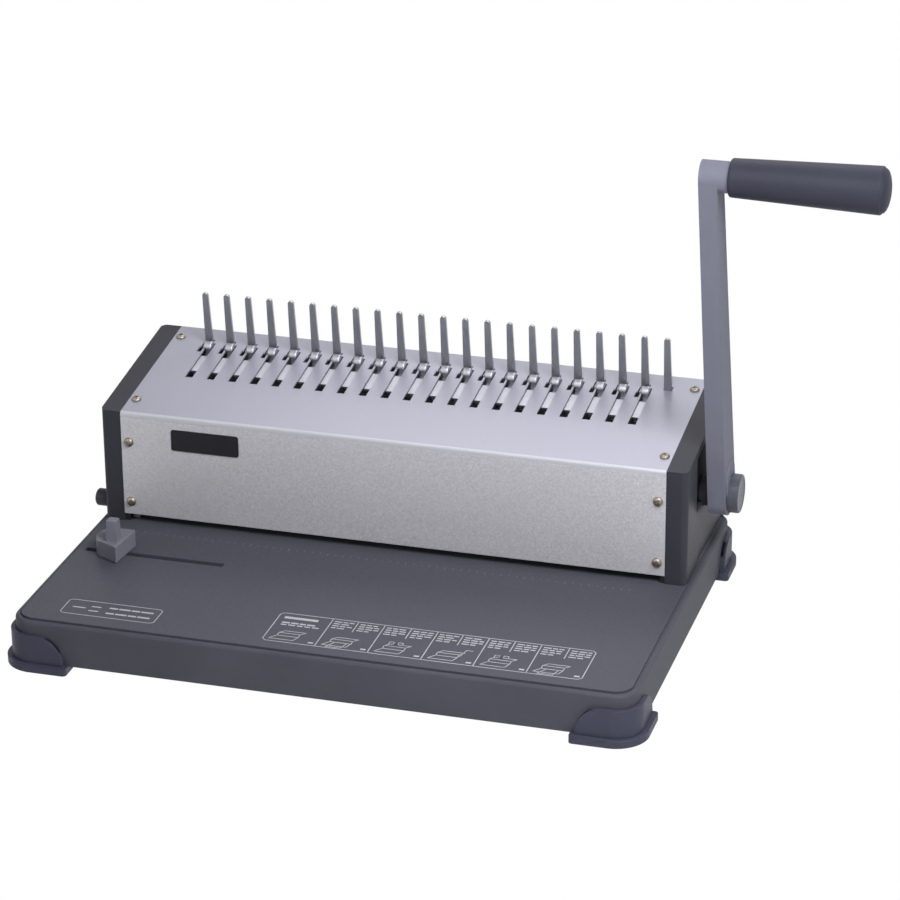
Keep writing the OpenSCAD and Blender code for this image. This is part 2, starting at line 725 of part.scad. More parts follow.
// Front outline of one finger: tapered, with a round tip
module finger_front() {
    a = finger_w / 2;
    b = finger_tip_w / 2;
    polygon([[-a, -8], [a, -8], [a, 2], [b, finger_h - b], [-b, finger_h - b], [-a, 2]]);
    translate([0, finger_h - b]) circle(b);
}

module finger() intersection() {
    translate([-finger_w, 0, 0]) rotate([90, 0, 90]) linear_extrude(2 * finger_w) finger_side();
    translate([0, slope_len, 0]) rotate([90, 0, 0]) linear_extrude(slope_len) finger_front();
}

module comb_plate() color("#8d8e95") place() on_slope() {
    block([-frame_in + flange_w - 1, finger_root + finger_bend + finger_t, -sheet_t - finger_t],
        [frame_in - flange_w + 1, slope_len - 4.5, -sheet_t]);
    for (i = [0 : finger_n - 1]) translate([finger_at(i), 0, 0]) finger();
}

// One hook: a flat blade over a neck, an arm that runs back under the cover, and a round tip that rides
// over the slot on a narrow stem
module hook() {
    low = rake_bar_w;
    r = tip_t / 2;
    block([-hook_w / 2, hook_front, hook_w_top - hook_t], [hook_w / 2, hook_back, hook_w_top]);
    block([-1.2, hook_front + 3, low], [1.2, hook_front + 13, hook_w_top - hook_t + eps]);
    block([-stem_w / 2, hook_front + 3, low], [stem_w / 2, tip_v + r - 0.4, low + arm_h]);
    block([-stem_w / 2, tip_v - r + 0.4, low + 1], [stem_w / 2, tip_v + r - 0.4, loose + eps]);
    intersection() {
        rod_x(-tip_x - tip_w / 2, -tip_x + tip_w / 2, tip_v, tip_h - r, tip_t);
        block([-tip_w, tip_v - tip_t, loose], [tip_w, tip_v + tip_t, tip_h + 1]);
    }
}

module ring_hooks() color("#b4b6bf") place() on_slope()
    for (i = [0 : slot_n - 1]) translate([slot_at(i), 0, 0]) hook();

// The bar that carries the hooks, with its two sliding blocks and the two forks for the cranks
module rake_bar() color("#b4b6bf") place() on_slope() difference() {
    bar0 = hook_front + 2;
    bar1 = hook_front + 14;
    union() {
        block([-frame_in + 5, bar0, rake_bar_w - rake_bar_h], [frame_in - 5, bar1, rake_bar_w]);
        for (s = [-1, 1]) {
            translate([s * rake_rod_x, hook_front + rake_end_l / 2, rod_w])
                cube([12, rake_end_l, rake_end_h], center = true);
            block([s * crank_x - 2, min(rake_v - 8, bar0 + 2), shaft_w + crank_r - 10],
                [s * crank_x + 2, max(rake_v + 8, bar1 - 2), rake_bar_w - 1]);
        }
    }
    for (s = [-1, 1]) {
        translate([s * rake_rod_x, hook_front - 5, rod_w]) rotate([-90, 0, 0])
            cylinder(h = rake_end_l + 10, d = rod_d + 2 * fit);
        block([s * crank_x - 3, rake_v - fork_slot, shaft_w + crank_r * cos(half_turn) - crank_pin_d / 2 - 1],
            [s * crank_x + 3, rake_v + fork_slot, shaft_w + crank_r + crank_pin_d / 2 + 1]);
    }
}

module rake_rods() color(zinc) place() on_slope() for (s = [-1, 1])
    translate([s * rake_rod_x, rod_v0, rod_w]) rotate([-90, 0, 0]) cylinder(h = rod_v1 - rod_v0, d = rod_d);

module rake_rod_brackets() color(steel) place() on_slope() difference() {
    for (s = [-1, 1], v = [rod_v0, rod_v1 - bracket_l]) {
        x0 = s > 0 ? frame_in - bracket_w : -frame_in;
        block([x0, v, rod_w - 5], [x0 + bracket_w, v + bracket_l, rod_w + 4.6]);
    }
    for (s = [-1, 1]) translate([s * rake_rod_x, rod_v0 - 1, rod_w]) rotate([-90, 0, 0])
        cylinder(h = slope_len, d = rod_d);
}

// ---- Handle and shaft ----

module main_shaft() color(zinc) place()
    rod_x(-frame_in - frame_t - 3, body_w / 2 + arm_gap + arm_t, sy, sz, shaft_d);

module shaft_collars() color(steel) place() for (s = [-1, 1]) difference() {
    rod_x(s * (frame_in - 19) - 3, s * (frame_in - 19) + 3, sy, sz, shaft_d + 8);
    rod_x(s * (frame_in - 19) - 4, s * (frame_in - 19) + 4, sy, sz, shaft_d);
}

module punch_cams() color(steel) place() for (s = [-1, 1]) difference() {
    rod_x(s * cam_x - 4, s * cam_x + 4, sy - cam_e * cos(half_turn), sz + cam_e * sin(half_turn), 2 * cam_r);
    rod_x(s * cam_x - 5, s * cam_x + 5, sy, sz, shaft_d);
}

// Cranks beside the rake's forks; each pin reaches through its fork's slot
module rake_cranks() color(steel) place() for (s = [-1, 1]) {
    a = 90 + slope - half_turn;
    x0 = s * (crank_x + 5.5);
    difference() {
        union() {
            rod_x(x0 - 2, x0 + 2, sy, sz, shaft_d + 8);
            translate([0, sy, sz]) rotate([a, 0, 0]) block([x0 - 2, 0, -5], [x0 + 2, crank_r, 5]);
            translate([0, sy, sz]) rotate([a, 0, 0]) rod_x(x0 - 2, x0 + 2, crank_r, 0, 10);
            translate([0, sy, sz]) rotate([a, 0, 0])
                rod_x(min(x0, s * (crank_x - 3)), max(x0, s * (crank_x - 3)), crank_r, 0, crank_pin_d);
        }
        rod_x(x0 - 3, x0 + 3, sy, sz, shaft_d);
    }
}

module shaft_spacer() color(dark) place() difference() {
    rod_x(body_w / 2 - pocket_t + loose, body_w / 2 + arm_gap, sy, sz, spacer_d);
    rod_x(body_w / 2 - 6, body_w / 2 + arm_gap + 1, sy, sz, shaft_d);
}

arm_x = body_w / 2 + arm_gap;
module at_grip_axis() translate([0, sy, sz]) rotate([arm_lean, 0, 0]) translate([0, 0, arm_len]) children();

// Flat tapered arm with round ends: two discs and their common tangents
module handle_arm() color("#80838d") place() difference() {
    r0 = arm_w / 2;
    r1 = arm_tip_w / 2;
    a = asin((r0 - r1) / arm_len);
    translate([arm_x, sy, sz]) rotate([arm_lean, 0, 0]) union() {
        rotate([90, 0, 90]) linear_extrude(arm_t) union() {
            circle(r0, $fn = 96);
            translate([0, arm_len]) circle(r1, $fn = 64);
            polygon([[-r0 * cos(a), r0 * sin(a)], [r0 * cos(a), r0 * sin(a)],
                [r1 * cos(a), arm_len + r1 * sin(a)], [-r1 * cos(a), arm_len + r1 * sin(a)]]);
        }
    }
    rod_x(arm_x - 1, arm_x + arm_t + 1, sy, sz, shaft_d);
    at_grip_axis() rod_x(arm_x - 1, arm_x + arm_t + 1, 0, 0, grip_rod_d);
}

grip_x = arm_x + arm_t + stub_len;
module handle_rod() color("#80838d") place() at_grip_axis() {
    rod_x(arm_x, grip_x + grip_len * 0.85, 0, 0, grip_rod_d);
    rod_x(arm_x + arm_t, grip_x, 0, 0, arm_tip_w);
}

module handle_grip() color("#454652") place() at_grip_axis()
translate([grip_x, 0, 0]) rotate([0, 90, 0]) difference() {
    r0 = grip_d / 2;
    r1 = grip_end_d / 2;
    dome = 5;
    n = 6;
    rotate_extrude($fn = 96) polygon(concat([[0, 0], [r0 - 1.5, 0], [r0, 1.5], [r1, grip_len - dome]],
        [for (i = [1 : n]) let (t = 90 * i / n) [r1 * cos(t), grip_len - dome + dome * sin(t)]]));
    translate([0, 0, -1]) cylinder(h = grip_len * 0.85 + 1.2, d = grip_rod_d);
}

module hub_cap() color("#5c5f69") place() translate([arm_x + arm_t, sy, sz]) rotate([0, 90, 0]) union() {
    cylinder(h = hub_h - 1, d = hub_d);
    translate([0, 0, hub_h - 1]) cylinder(h = 1, d1 = hub_d, d2 = hub_d - 2);
}

// ---- Margin knob and depth stop ----

ky = body_front + knob_y;
kz = deck_z + knob_h;
knob_turn = 120;
stop_travel = 2 * knob_r * sin(knob_turn / 2);
disc_x = -frame_in + loose;
disc_d = 11;

module margin_knob() color(dark) place() difference() {
    union() {
        rod_x(-body_w / 2 - knob_len + 1, -body_w / 2 - loose, ky, kz, knob_d);
        translate([-body_w / 2 - knob_len, ky, kz]) rotate([0, 90, 0])
            cylinder(h = 1, d1 = knob_d - 2, d2 = knob_d);
    }
    rod_x(-body_w / 2 - knob_len + 3, -body_w / 2 + 1, ky, kz, 6);
}

module margin_spindle() color(zinc) place() union() {
    rod_x(-body_w / 2 - knob_len + 3, disc_x + 1, ky, kz, 6);
    rod_x(disc_x, disc_x + 2, ky, kz, disc_d);
    rod_x(disc_x + 1, disc_x + 5, ky - knob_r * sin(knob_turn / 2), kz - knob_r * cos(knob_turn / 2), 3);
}

stop_y = punch_y + pin_d / 2 + 2;
module depth_stop() color(steel) place() difference() {
    union() {
        block([-frame_in + 0.5, stop_y, deck_z + loose], [paper_right, stop_y + 5, guide_z - loose]);
        block([-frame_in + 0.5, ky - 6.5, deck_z + loose], [-frame_in + 3, stop_y + 5, guide_z - loose]);
        block([-frame_in + 0.5, ky - 6.5, deck_z + loose], [disc_x + 4.8, ky + 8, guide_z - loose]);
        block([disc_x + 2 + loose, ky - 6.5, deck_z + loose], [disc_x + 4.8, ky + 8, kz + 5]);
    }
    block([disc_x, ky - knob_r * sin(knob_turn / 2) - 1.9, kz - knob_r - 1.9],
        [disc_x + 6, ky - knob_r * sin(knob_turn / 2) + 1.9, kz + 1]);
}

// ---- Edge guide ----

gx = -base_w / 2 + guide_slot_x + 4.8;
gy = body_front - guide_slot_y;
module edge_guide() color("#5d5f68") place() union() {
    translate([gx, gy, deck_z + loose]) linear_extrude(guide_h - loose)
        polygon(concat([[21, -15.5], [23.5, 12]],
            [for (a = [90 : 15 : 270]) [10.5 + 7.5 * cos(a), 1 + 11 * sin(a)]]));
    translate([gx + 16, gy - 5.5, deck_z + 1]) linear_extrude(guide_post_h - 1, scale = 0.72)
        square([9, 9], center = true);
    block([gx + 6, gy - guide_slot_w / 2 + loose, web_low - loose],
        [gx + 18, gy + guide_slot_w / 2 - loose, deck_z + 2]);
}

module edge_guide_clip() color(zinc) place()
    block([gx + 4, gy - 7, web_low - loose - 2], [gx + 20, gy + 7, web_low - loose]);

// ---- Chip drawer ----

module chip_drawer() color(charcoal) place() difference() {
    y0 = drawer_y - drawer_w / 2;
    y1 = drawer_y + drawer_w / 2;
    union() {
        block([drawer_x0 + 1, y0, drawer_z], [drawer_x1, y1, drawer_z + drawer_h]);
        block([drawer_x0, y0 - 0.6, base_lift + bottom_t + 1.4],
            [drawer_x0 + base_wall, y1 + 0.6, web_low - 1.4]);
    }
    block([drawer_x0 + base_wall, y0 + drawer_wall, drawer_z + drawer_wall],
        [drawer_x1 - drawer_wall, y1 - drawer_wall, web_low]);
    translate([drawer_x0 - 1, drawer_y, web_low + 1]) rotate([0, 90, 0]) cylinder(h = base_wall + 2, r = 10);
}

module drawer_runners() color(steel) place() for (y = [-1, 1])
    block([-base_w / 2 + base_wall + 2, drawer_y + y * (drawer_w / 2 - 6) - 3, base_lift + bottom_t],
        [drawer_x1, drawer_y + y * (drawer_w / 2 - 6) + 3, drawer_z - loose]);

base_tray();
deck_plate();
bottom_plate();
foot_front_left();
foot_front_right();
foot_rear_left();
foot_rear_right();
foot_screws();
left_side_frame();
right_side_frame();
left_end_cap();
right_end_cap();
top_cover();
front_panel();
rear_panel();
cover_screws();
tie_rods();
tie_screws();
cap_screws();
base_screws();
left_shaft_bush();
right_shaft_bush();
die_plate();
punch_guide_plate();
punch_posts();
return_springs();
comb_plate();
rake_rods();
rake_rod_brackets();
drawer_runners();
main_shaft();
shaft_collars();
punch_cams();
rake_cranks();
shaft_spacer();
handle_arm();
handle_rod();
handle_grip();
hub_cap();
punch_bar();
punch_pins();
rake_bar();
ring_hooks();
margin_knob();
margin_spindle();
depth_stop();
edge_guide();
edge_guide_clip();
chip_drawer();
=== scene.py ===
"""Comb binding machine: visible pieces, finishes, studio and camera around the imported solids."""
import math
import random

import bpy
from mathutils import Matrix, Vector


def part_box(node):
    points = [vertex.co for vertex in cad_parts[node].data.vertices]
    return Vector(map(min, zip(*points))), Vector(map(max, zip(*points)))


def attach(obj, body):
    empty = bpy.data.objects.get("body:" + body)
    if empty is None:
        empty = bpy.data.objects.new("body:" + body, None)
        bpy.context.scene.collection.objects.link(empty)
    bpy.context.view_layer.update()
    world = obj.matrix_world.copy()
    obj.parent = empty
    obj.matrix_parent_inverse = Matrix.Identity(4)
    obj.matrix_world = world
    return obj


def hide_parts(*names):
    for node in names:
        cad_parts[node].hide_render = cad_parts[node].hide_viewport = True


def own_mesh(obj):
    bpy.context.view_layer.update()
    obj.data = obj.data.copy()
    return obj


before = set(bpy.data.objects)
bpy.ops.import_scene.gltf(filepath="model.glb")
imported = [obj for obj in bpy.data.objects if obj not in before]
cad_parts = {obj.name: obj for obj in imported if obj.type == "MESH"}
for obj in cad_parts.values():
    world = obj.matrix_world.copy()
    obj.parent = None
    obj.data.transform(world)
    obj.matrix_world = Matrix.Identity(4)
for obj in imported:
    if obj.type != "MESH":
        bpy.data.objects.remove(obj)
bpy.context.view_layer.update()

bl_info = {
    "name": "Comb Binding Machine",
    "version": (1, 0, 0),
    "blender": (4, 5, 0),
    "location": "View3D > Sidebar > Binder",
    "description": "Dresses the solids of a comb binding machine with edges, finishes, prints and a studio",
    "category": "Add Mesh",
}

MM = 0.001
TOUCH = 0.05 * MM   # places nearer than this count as one
# The solids are drawn about the middle of the whole box; this is where the middle of the base lies
BASE_LOW, BASE_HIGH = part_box("base_tray")
BASE_X = (BASE_LOW.x + BASE_HIGH.x) / 2
DECK_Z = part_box("deck_plate")[1].z
PANEL_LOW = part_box("front_panel")[0]
COVER_LOW, COVER_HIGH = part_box("top_cover")


def at(x, y, z):
    """A point in millimetres from the middle of the base, on the table, as a vector in metres."""
    return Vector((BASE_X + x * MM, y * MM, z * MM))


# ---- Sizes and colours that a user may change ----

class BinderSizes(bpy.types.PropertyGroup):
    rim_round: bpy.props.FloatProperty(
        name="Rim rounding", description="Radius of the base's outer top edge",
        default=2.0 * MM, min=0.0, unit="LENGTH")
    foot_round: bpy.props.FloatProperty(
        name="Foot rounding", description="Radius of the feet's lips",
        default=1.6 * MM, min=0.0, unit="LENGTH")
    cap_round: bpy.props.FloatProperty(
        name="Cap rounding", description="Radius of the end caps' outer edges",
        default=1.3 * MM, min=0.0, unit="LENGTH")
    fold_round: bpy.props.FloatProperty(
        name="Fold rounding", description="Radius of the top cover's front fold",
        default=1.3 * MM, min=0.0, unit="LENGTH")
    arm_round: bpy.props.FloatProperty(
        name="Arm rounding", description="Radius of the arm's long edges",
        default=4.0 * MM, min=0.0, unit="LENGTH")
    deck_round: bpy.props.FloatProperty(
        name="Deck rounding", description="Radius of the deck plate's top edge",
        default=0.6 * MM, min=0.0, unit="LENGTH")
    print_thick: bpy.props.FloatProperty(
        name="Print thickness", description="Height of the printed lines over the deck",
        default=0.04 * MM, min=0.0, unit="LENGTH")
    camera_lens: bpy.props.FloatProperty(
        name="Lens", description="Focal length of the studio camera in millimetres", default=138.74)


class BinderColours(bpy.types.PropertyGroup):
    cover: bpy.props.FloatVectorProperty(
        name="Cover", description="Satin silver of the top cover", subtype="COLOR", size=3,
        default=(0.299, 0.297, 0.371))
    panel: bpy.props.FloatVectorProperty(
        name="Panel", description="Grained silver of the front panel", subtype="COLOR", size=3,
        default=(0.528, 0.523, 0.56))
    cap: bpy.props.FloatVectorProperty(
        name="Caps", description="Dark grey of the end caps", subtype="COLOR", size=3,
        default=(0.037, 0.037, 0.048))
    base: bpy.props.FloatVectorProperty(
        name="Base", description="Grey of the base and its deck", subtype="COLOR", size=3,
        default=(0.065, 0.067, 0.084))
    foot: bpy.props.FloatVectorProperty(
        name="Feet", description="Slate blue of the feet", subtype="COLOR", size=3,
        default=(0.049, 0.051, 0.078))
    arm: bpy.props.FloatVectorProperty(
        name="Arm", description="Grey enamel of the handle's arm", subtype="COLOR", size=3,
        default=(0.153, 0.159, 0.204))
    grip: bpy.props.FloatVectorProperty(
        name="Grip", description="Dark grey of the grip", subtype="COLOR", size=3,
        default=(0.034, 0.035, 0.051))
    guide: bpy.props.FloatVectorProperty(
        name="Edge guide", description="Grey of the edge guide", subtype="COLOR", size=3,
        default=(0.174, 0.177, 0.212))
    print_ink: bpy.props.FloatVectorProperty(
        name="Print", description="Pale grey of the printed lines", subtype="COLOR", size=3,
        default=(0.42, 0.43, 0.46))
    floor: bpy.props.FloatVectorProperty(
        name="Floor", description="Pale floor of the studio", subtype="COLOR", size=3,
        default=(0.9, 0.9, 0.9))


def sizes():
    return bpy.context.scene.binder_sizes


def colours():
    return bpy.context.scene.binder_colours


# ---- Shader maths ----

PLASTIC_GLOSS, POWDER_GLOSS = 0.1, 0.07   # specular levels of the plastics and enamels, and of powder coats


class Wire:
    """A shader socket that reads like a number, so that a pattern is written as plain arithmetic."""

    def __init__(self, graph, socket):
        self.graph, self.socket = graph, socket

    def _math(self, operation, *values):
        return self.graph.node("ShaderNodeMath", {"operation": operation}, dict(enumerate(values)))

    def __add__(self, other): return self._math("ADD", self, other)
    def __radd__(self, other): return self._math("ADD", other, self)
    def __sub__(self, other): return self._math("SUBTRACT", self, other)
    def __rsub__(self, other): return self._math("SUBTRACT", other, self)
    def __mul__(self, other): return self._math("MULTIPLY", self, other)
    def __rmul__(self, other): return self._math("MULTIPLY", other, self)
    def __lt__(self, other): return self._math("LESS_THAN", self, other)
    def __gt__(self, other): return self._math("GREATER_THAN", self, other)
    def most(self, other): return self._math("MAXIMUM", self, other)

    def ramp(self, low, high, to_low=0.0, to_high=1.0):
        return self.graph.node("ShaderNodeMapRange", {"clamp": True},
                               {0: self, 1: low, 2: high, 3: to_low, 4: to_high})


class Nodes:
    """The nodes of one tree, each made by one call."""

    def __init__(self, tree):
        self.tree = tree

    def node(self, kind, settings=None, inputs=None, output=0):
        made = self.tree.nodes.new(kind)
        for key, value in (settings or {}).items():
            setattr(made, key, value)
        for key, value in (inputs or {}).items():
            if isinstance(value, Wire):
                self.tree.links.new(value.socket, made.inputs[key])
            else:
                made.inputs[key].default_value = value
        return Wire(self, made.outputs[output])

    def seen(self):
        """One for rays that come straight, off a gloss or through glass, and zero for all other rays."""
        rays = self.node("ShaderNodeLightPath").socket.node.outputs
        straight, gloss, glass = (Wire(self, rays[name]) for name in (
            "Is Camera Ray", "Is Glossy Ray", "Is Transmission Ray"))
        return straight.most(gloss).most(glass)


class Graph(Nodes):
    """The nodes of one material, with a Principled shader at the end."""

    def __init__(self, name, colour, roughness, metallic=0.0, **constants):
        self.material = bpy.data.materials.new(name)
        self.material.use_nodes = True
        super().__init__(self.material.node_tree)
        self.shader = self.tree.nodes["Principled BSDF"]
        self.set("Base Color", (*colour, 1.0))
        self.set("Roughness", roughness)
        self.set("Metallic", metallic)
        self.set("Specular IOR Level", 0.5 if metallic else PLASTIC_GLOSS)
        for key, value in constants.items():
            self.set(key.replace("_", " "), value)
        self.coordinates = None

    def set(self, name, value):
        self.shader.inputs[name].default_value = value

    def place(self):
        """Object coordinates in metres, which are the coordinates of the whole model."""
        if self.coordinates is None:
            self.coordinates = self.node("ShaderNodeTexCoord", output="Object")
        return self.coordinates

    def axes(self):
        split = self.node("ShaderNodeSeparateXYZ", {}, {0: self.place()})
        return [Wire(self, socket) for socket in split.socket.node.outputs]

    def noise(self, size, detail=2.0, rough=0.5, stretch=(1, 1, 1)):
        """Noise whose cells are about that many metres across, as a number near 0.5."""
        scaled = self.node("ShaderNodeMapping", {}, {0: self.place(), 3: [k / size for k in stretch]})
        return self.node("ShaderNodeTexNoise", {}, {"Vector": scaled, "Scale": 1.0, "Detail": detail,
                                                    "Roughness": rough})

    def cells(self, size):
        """Random value per cell of about that size."""
        scaled = self.node("ShaderNodeMapping", {}, {0: self.place(), 3: [1 / size] * 3})
        made = self.node("ShaderNodeTexVoronoi", {}, {"Vector": scaled, "Scale": 1.0}, output=1)
        return self.node("ShaderNodeSeparateColor", {}, {0: made})

    def mix(self, factor, a, b):
        a, b = (c if isinstance(c, Wire) else (*c, 1.0) for c in (a, b))
        return self.node("ShaderNodeMix", {"data_type": "RGBA"}, {0: factor, 6: a, 7: b}, 2)

    def feed(self, name, wire):
        self.tree.links.new(wire.socket, self.shader.inputs[name])

    def bump(self, height, distance):
        self.feed("Normal", self.node("ShaderNodeBump", {}, {"Height": height, "Distance": distance}))


def tint(colour, k):
    return tuple(min(1.0, c * k) for c in colour)


# ---- Finishes ----

# DEEP_SHADE is the colour of the shade painted inside the right end cap's pocket
# the second colour is a highlight painted on the top cover's front fold
DEEP_SHADE, FOLD_HIGHLIGHT = (0.004, 0.004, 0.005), (0.62, 0.62, 0.66)
FOLD_BRIGHT, FOLD_DULL = 0.9 * MM, 1.8 * MM   # the painted highlight fades between these distances from the fold


def grained_plastic(name, colour, roughness=0.45, grain=0.5 * MM, depth=0.03 * MM, spread=0.12, painted_shade=None,
                    **more):
    """Moulded plastic: a fine leather-like grain, slow colour drift and smudged gloss.

    The argument after spread, a function of the graph, may give where the plastic lies deep in shade, from 0
    to 1; shade is painted into its colour there and it is matt there.
    """
    g = Graph(name, colour, roughness, **more)
    fine = g.noise(grain, 2.0, 0.6)
    drift = g.noise(45 * MM, 3.0, 0.55)
    base = g.mix(drift.ramp(0.3, 0.7), tint(colour, 1 - spread), tint(colour, 1 + spread))
    rough = fine.ramp(0.3, 0.7, roughness - 0.05, roughness + 0.05) + drift.ramp(0.3, 0.7, -0.03, 0.03)
    # painted shade: inside the mask the colour is darkened towards DEEP_SHADE and the plastic is made matt
    if painted_shade:
        inside = painted_shade(g)
        base = g.mix(inside * 0.6, base, DEEP_SHADE)
        rough = rough + inside * 0.5
    g.feed("Base Color", base)
    g.feed("Roughness", rough)
    g.bump(fine, depth)
    return g.material


# Of the pocket in the right end cap, whose inside has painted shade: how far it lies behind the cap's front,
# the height of its top there, the rise of that top, and the places of its floor and its edge, from the cap's
# outer face
POCKET_FRONT, POCKET_TOP, TOP_SLOPE = 25 * MM, 70 * MM, 0.132
POCKET_FLOOR, POCKET_EDGE = 8 * MM, 2 * MM


def pocket_shade_mask(g):
    """Where shade is painted into the right end cap: the inside of its pocket, below its sloping top."""
    low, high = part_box("right_end_cap")
    x, y, z = g.axes()
    under_top = low.z + POCKET_TOP + (y - low.y) * TOP_SLOPE
    return ((x < high.x - POCKET_EDGE) * (x > high.x - POCKET_FLOOR) * (y > low.y + POCKET_FRONT)
            * (z < under_top))


def powder_coat(name, colour, roughness=0.42, **more):
    """Powder-coated sheet: an orange-peel skin with small pale and dark specks."""
    g = Graph(name, colour, roughness, **more)
    g.set("Specular IOR Level", POWDER_GLOSS)
    peel = g.noise(1.6 * MM, 2.0, 0.5)
    speck = g.cells(0.45 * MM)
    drift = g.noise(80 * MM, 2.0, 0.5)
    shade = g.mix(speck.ramp(0.0, 1.0), tint(colour, 0.88), tint(colour, 1.13))
    g.feed("Base Color", g.mix(drift.ramp(0.3, 0.7, 0.0, 0.5), shade, tint(colour, 1.08)))
    g.feed("Roughness", peel.ramp(0.3, 0.7, roughness - 0.06, roughness + 0.06))
    g.bump(peel + speck * 0.25, 0.03 * MM)
    return g.material


def satin_silver(name, colour):
    """Silver lacquer on sheet steel, smooth, with very fine flakes and a highlight painted along its front
    fold.
    """
    g = Graph(name, colour, 0.34, 0.15, Coat_Weight=0.08, Coat_Roughness=0.25)
    flake = g.cells(0.22 * MM)
    drift = g.noise(60 * MM, 3.0, 0.5)
    shade = g.mix(flake, tint(colour, 0.95), tint(colour, 1.05))
    y = g.axes()[1]   # a highlight is painted on the fold at the front
    fold = y.ramp(COVER_LOW.y + FOLD_BRIGHT, COVER_LOW.y + FOLD_DULL, 0.6, 0.0)
    body = g.mix(drift.ramp(0.3, 0.7, 0.0, 0.6), shade, tint(colour, 1.03))
    g.feed("Base Color", g.mix(fold, body, FOLD_HIGHLIGHT))
    g.feed("Roughness", flake.ramp(0.0, 1.0, 0.30, 0.38) + drift.ramp(0.3, 0.7, -0.03, 0.03))
    g.bump(g.noise(2.5 * MM, 2.0), 0.01 * MM)
    return g.material


def grained_silver(name, colour):
    """Silver hammer finish: coarse sparkling grains over the sheet."""
    g = Graph(name, colour, 0.45, 0.3)
    coarse = g.noise(1.3 * MM, 3.0, 0.7)
    fine = g.cells(0.5 * MM)
    drift = g.noise(70 * MM, 3.0, 0.5)
    grain = coarse.ramp(0.32, 0.68) * 0.55 + fine * 0.45
    shade = g.mix(grain, tint(colour, 0.74), tint(colour, 1.24))
    g.feed("Base Color", g.mix(drift.ramp(0.3, 0.7, 0.0, 0.4), shade, colour))
    g.feed("Roughness", grain.ramp(0.2, 0.8, 0.36, 0.52))
    g.bump(grain, 0.05 * MM)
    return g.material


def worked_steel(name, colour, roughness=0.32, along=(1, 30, 30), size=4 * MM):
    """Ground or plated steel with fine streaks along the work and slight stains."""
    g = Graph(name, colour, roughness, 1.0)
    streak = g.noise(size, 3.0, 0.6, along)
    stain = g.noise(14 * MM, 3.0, 0.6)
    g.feed("Base Color", g.mix(streak.ramp(0.25, 0.75), tint(colour, 0.86), tint(colour, 1.12)))
    g.feed("Roughness", streak.ramp(0.3, 0.7, roughness - 0.06, roughness + 0.08)
           + stain.ramp(0.3, 0.7, -0.05, 0.05))
    g.bump(streak, 0.01 * MM)
    return g.material


MATERIALS = {}


def make_materials():
    c = colours()
    m = MATERIALS
    m["base"] = grained_plastic("base_grey", tuple(c.base), 0.55, 0.6 * MM, 0.025 * MM, 0.08)
    m["deck"] = powder_coat("deck_powder", tint(tuple(c.base), 1.05), 0.42)
    m["foot"] = grained_plastic("foot_slate", tuple(c.foot), 0.45, 3 * MM, 0.002 * MM, 0.05, Coat_Weight=0.06,
                                Coat_Roughness=0.08)
    # the inside of the right cap's pocket gets painted shade
    m["cap"] = grained_plastic("cap_dark", tuple(c.cap), 0.44, 0.45 * MM, 0.03 * MM, 0.1, pocket_shade_mask)
    m["cover"] = satin_silver("cover_silver", tuple(c.cover))
    m["panel"] = grained_silver("panel_silver", tuple(c.panel))
    m["arm"] = grained_plastic("arm_enamel", tuple(c.arm), 0.6, 3 * MM, 0.004 * MM, 0.04)
    m["grip"] = grained_plastic("grip_dark", tuple(c.grip), 0.5, 0.5 * MM, 0.02 * MM, 0.08)
    m["guide"] = grained_plastic("guide_grey", tuple(c.guide), 0.42, 0.5 * MM, 0.02 * MM, 0.06)
    m["drawer"] = grained_plastic("drawer_dark", tuple(c.base), 0.5, 0.6 * MM, 0.03 * MM, 0.1)
    m["comb"] = worked_steel("comb_nickel", (0.33, 0.34, 0.36), 0.36, (20, 6, 1), 6 * MM)
    m["hook"] = worked_steel("hook_nickel", (0.38, 0.38, 0.42), 0.44, (30, 1, 30), 6 * MM)
    m["zinc"] = worked_steel("zinc_plate", (0.58, 0.58, 0.60), 0.34)
    m["tool"] = worked_steel("tool_steel", (0.36, 0.36, 0.38), 0.4)
    m["sheet"] = worked_steel("zinc_sheet", (0.50, 0.51, 0.53), 0.45, (1, 8, 8), 9 * MM)
    m["bronze"] = worked_steel("screw_bronze", (0.27, 0.24, 0.20), 0.42, (1, 1, 1), 1.5 * MM)
    m["frame"] = grained_plastic("frame_black", (0.02, 0.02, 0.024), 0.5, 1.5 * MM, 0.01 * MM, 0.1)
    m["bush"] = worked_steel("bush_bronze", (0.55, 0.40, 0.22), 0.42, (1, 1, 1), 1.5 * MM)
    m["hub"] = grained_plastic("hub_enamel", tint(tuple(c.arm), 0.5), 0.3, 1.5 * MM, 0.006 * MM, 0.05)
    m["knob"] = grained_plastic("knob_grey", tint(tuple(c.cap), 1.7), 0.4, 0.6 * MM, 0.01 * MM, 0.08)
    m["plate"] = grained_plastic("blank_plate_dark", (0.022, 0.022, 0.026), 0.35, 0.4 * MM, 0.01 * MM, 0.08)
    m["ink_faint"] = grained_plastic("ruler_ink", tint(tuple(c.print_ink), 0.35), 0.55, 0.3 * MM, 0.004 * MM,
                                     0.1)
    m["ink"] = grained_plastic("print_ink", tuple(c.print_ink), 0.55, 0.3 * MM, 0.004 * MM, 0.1)


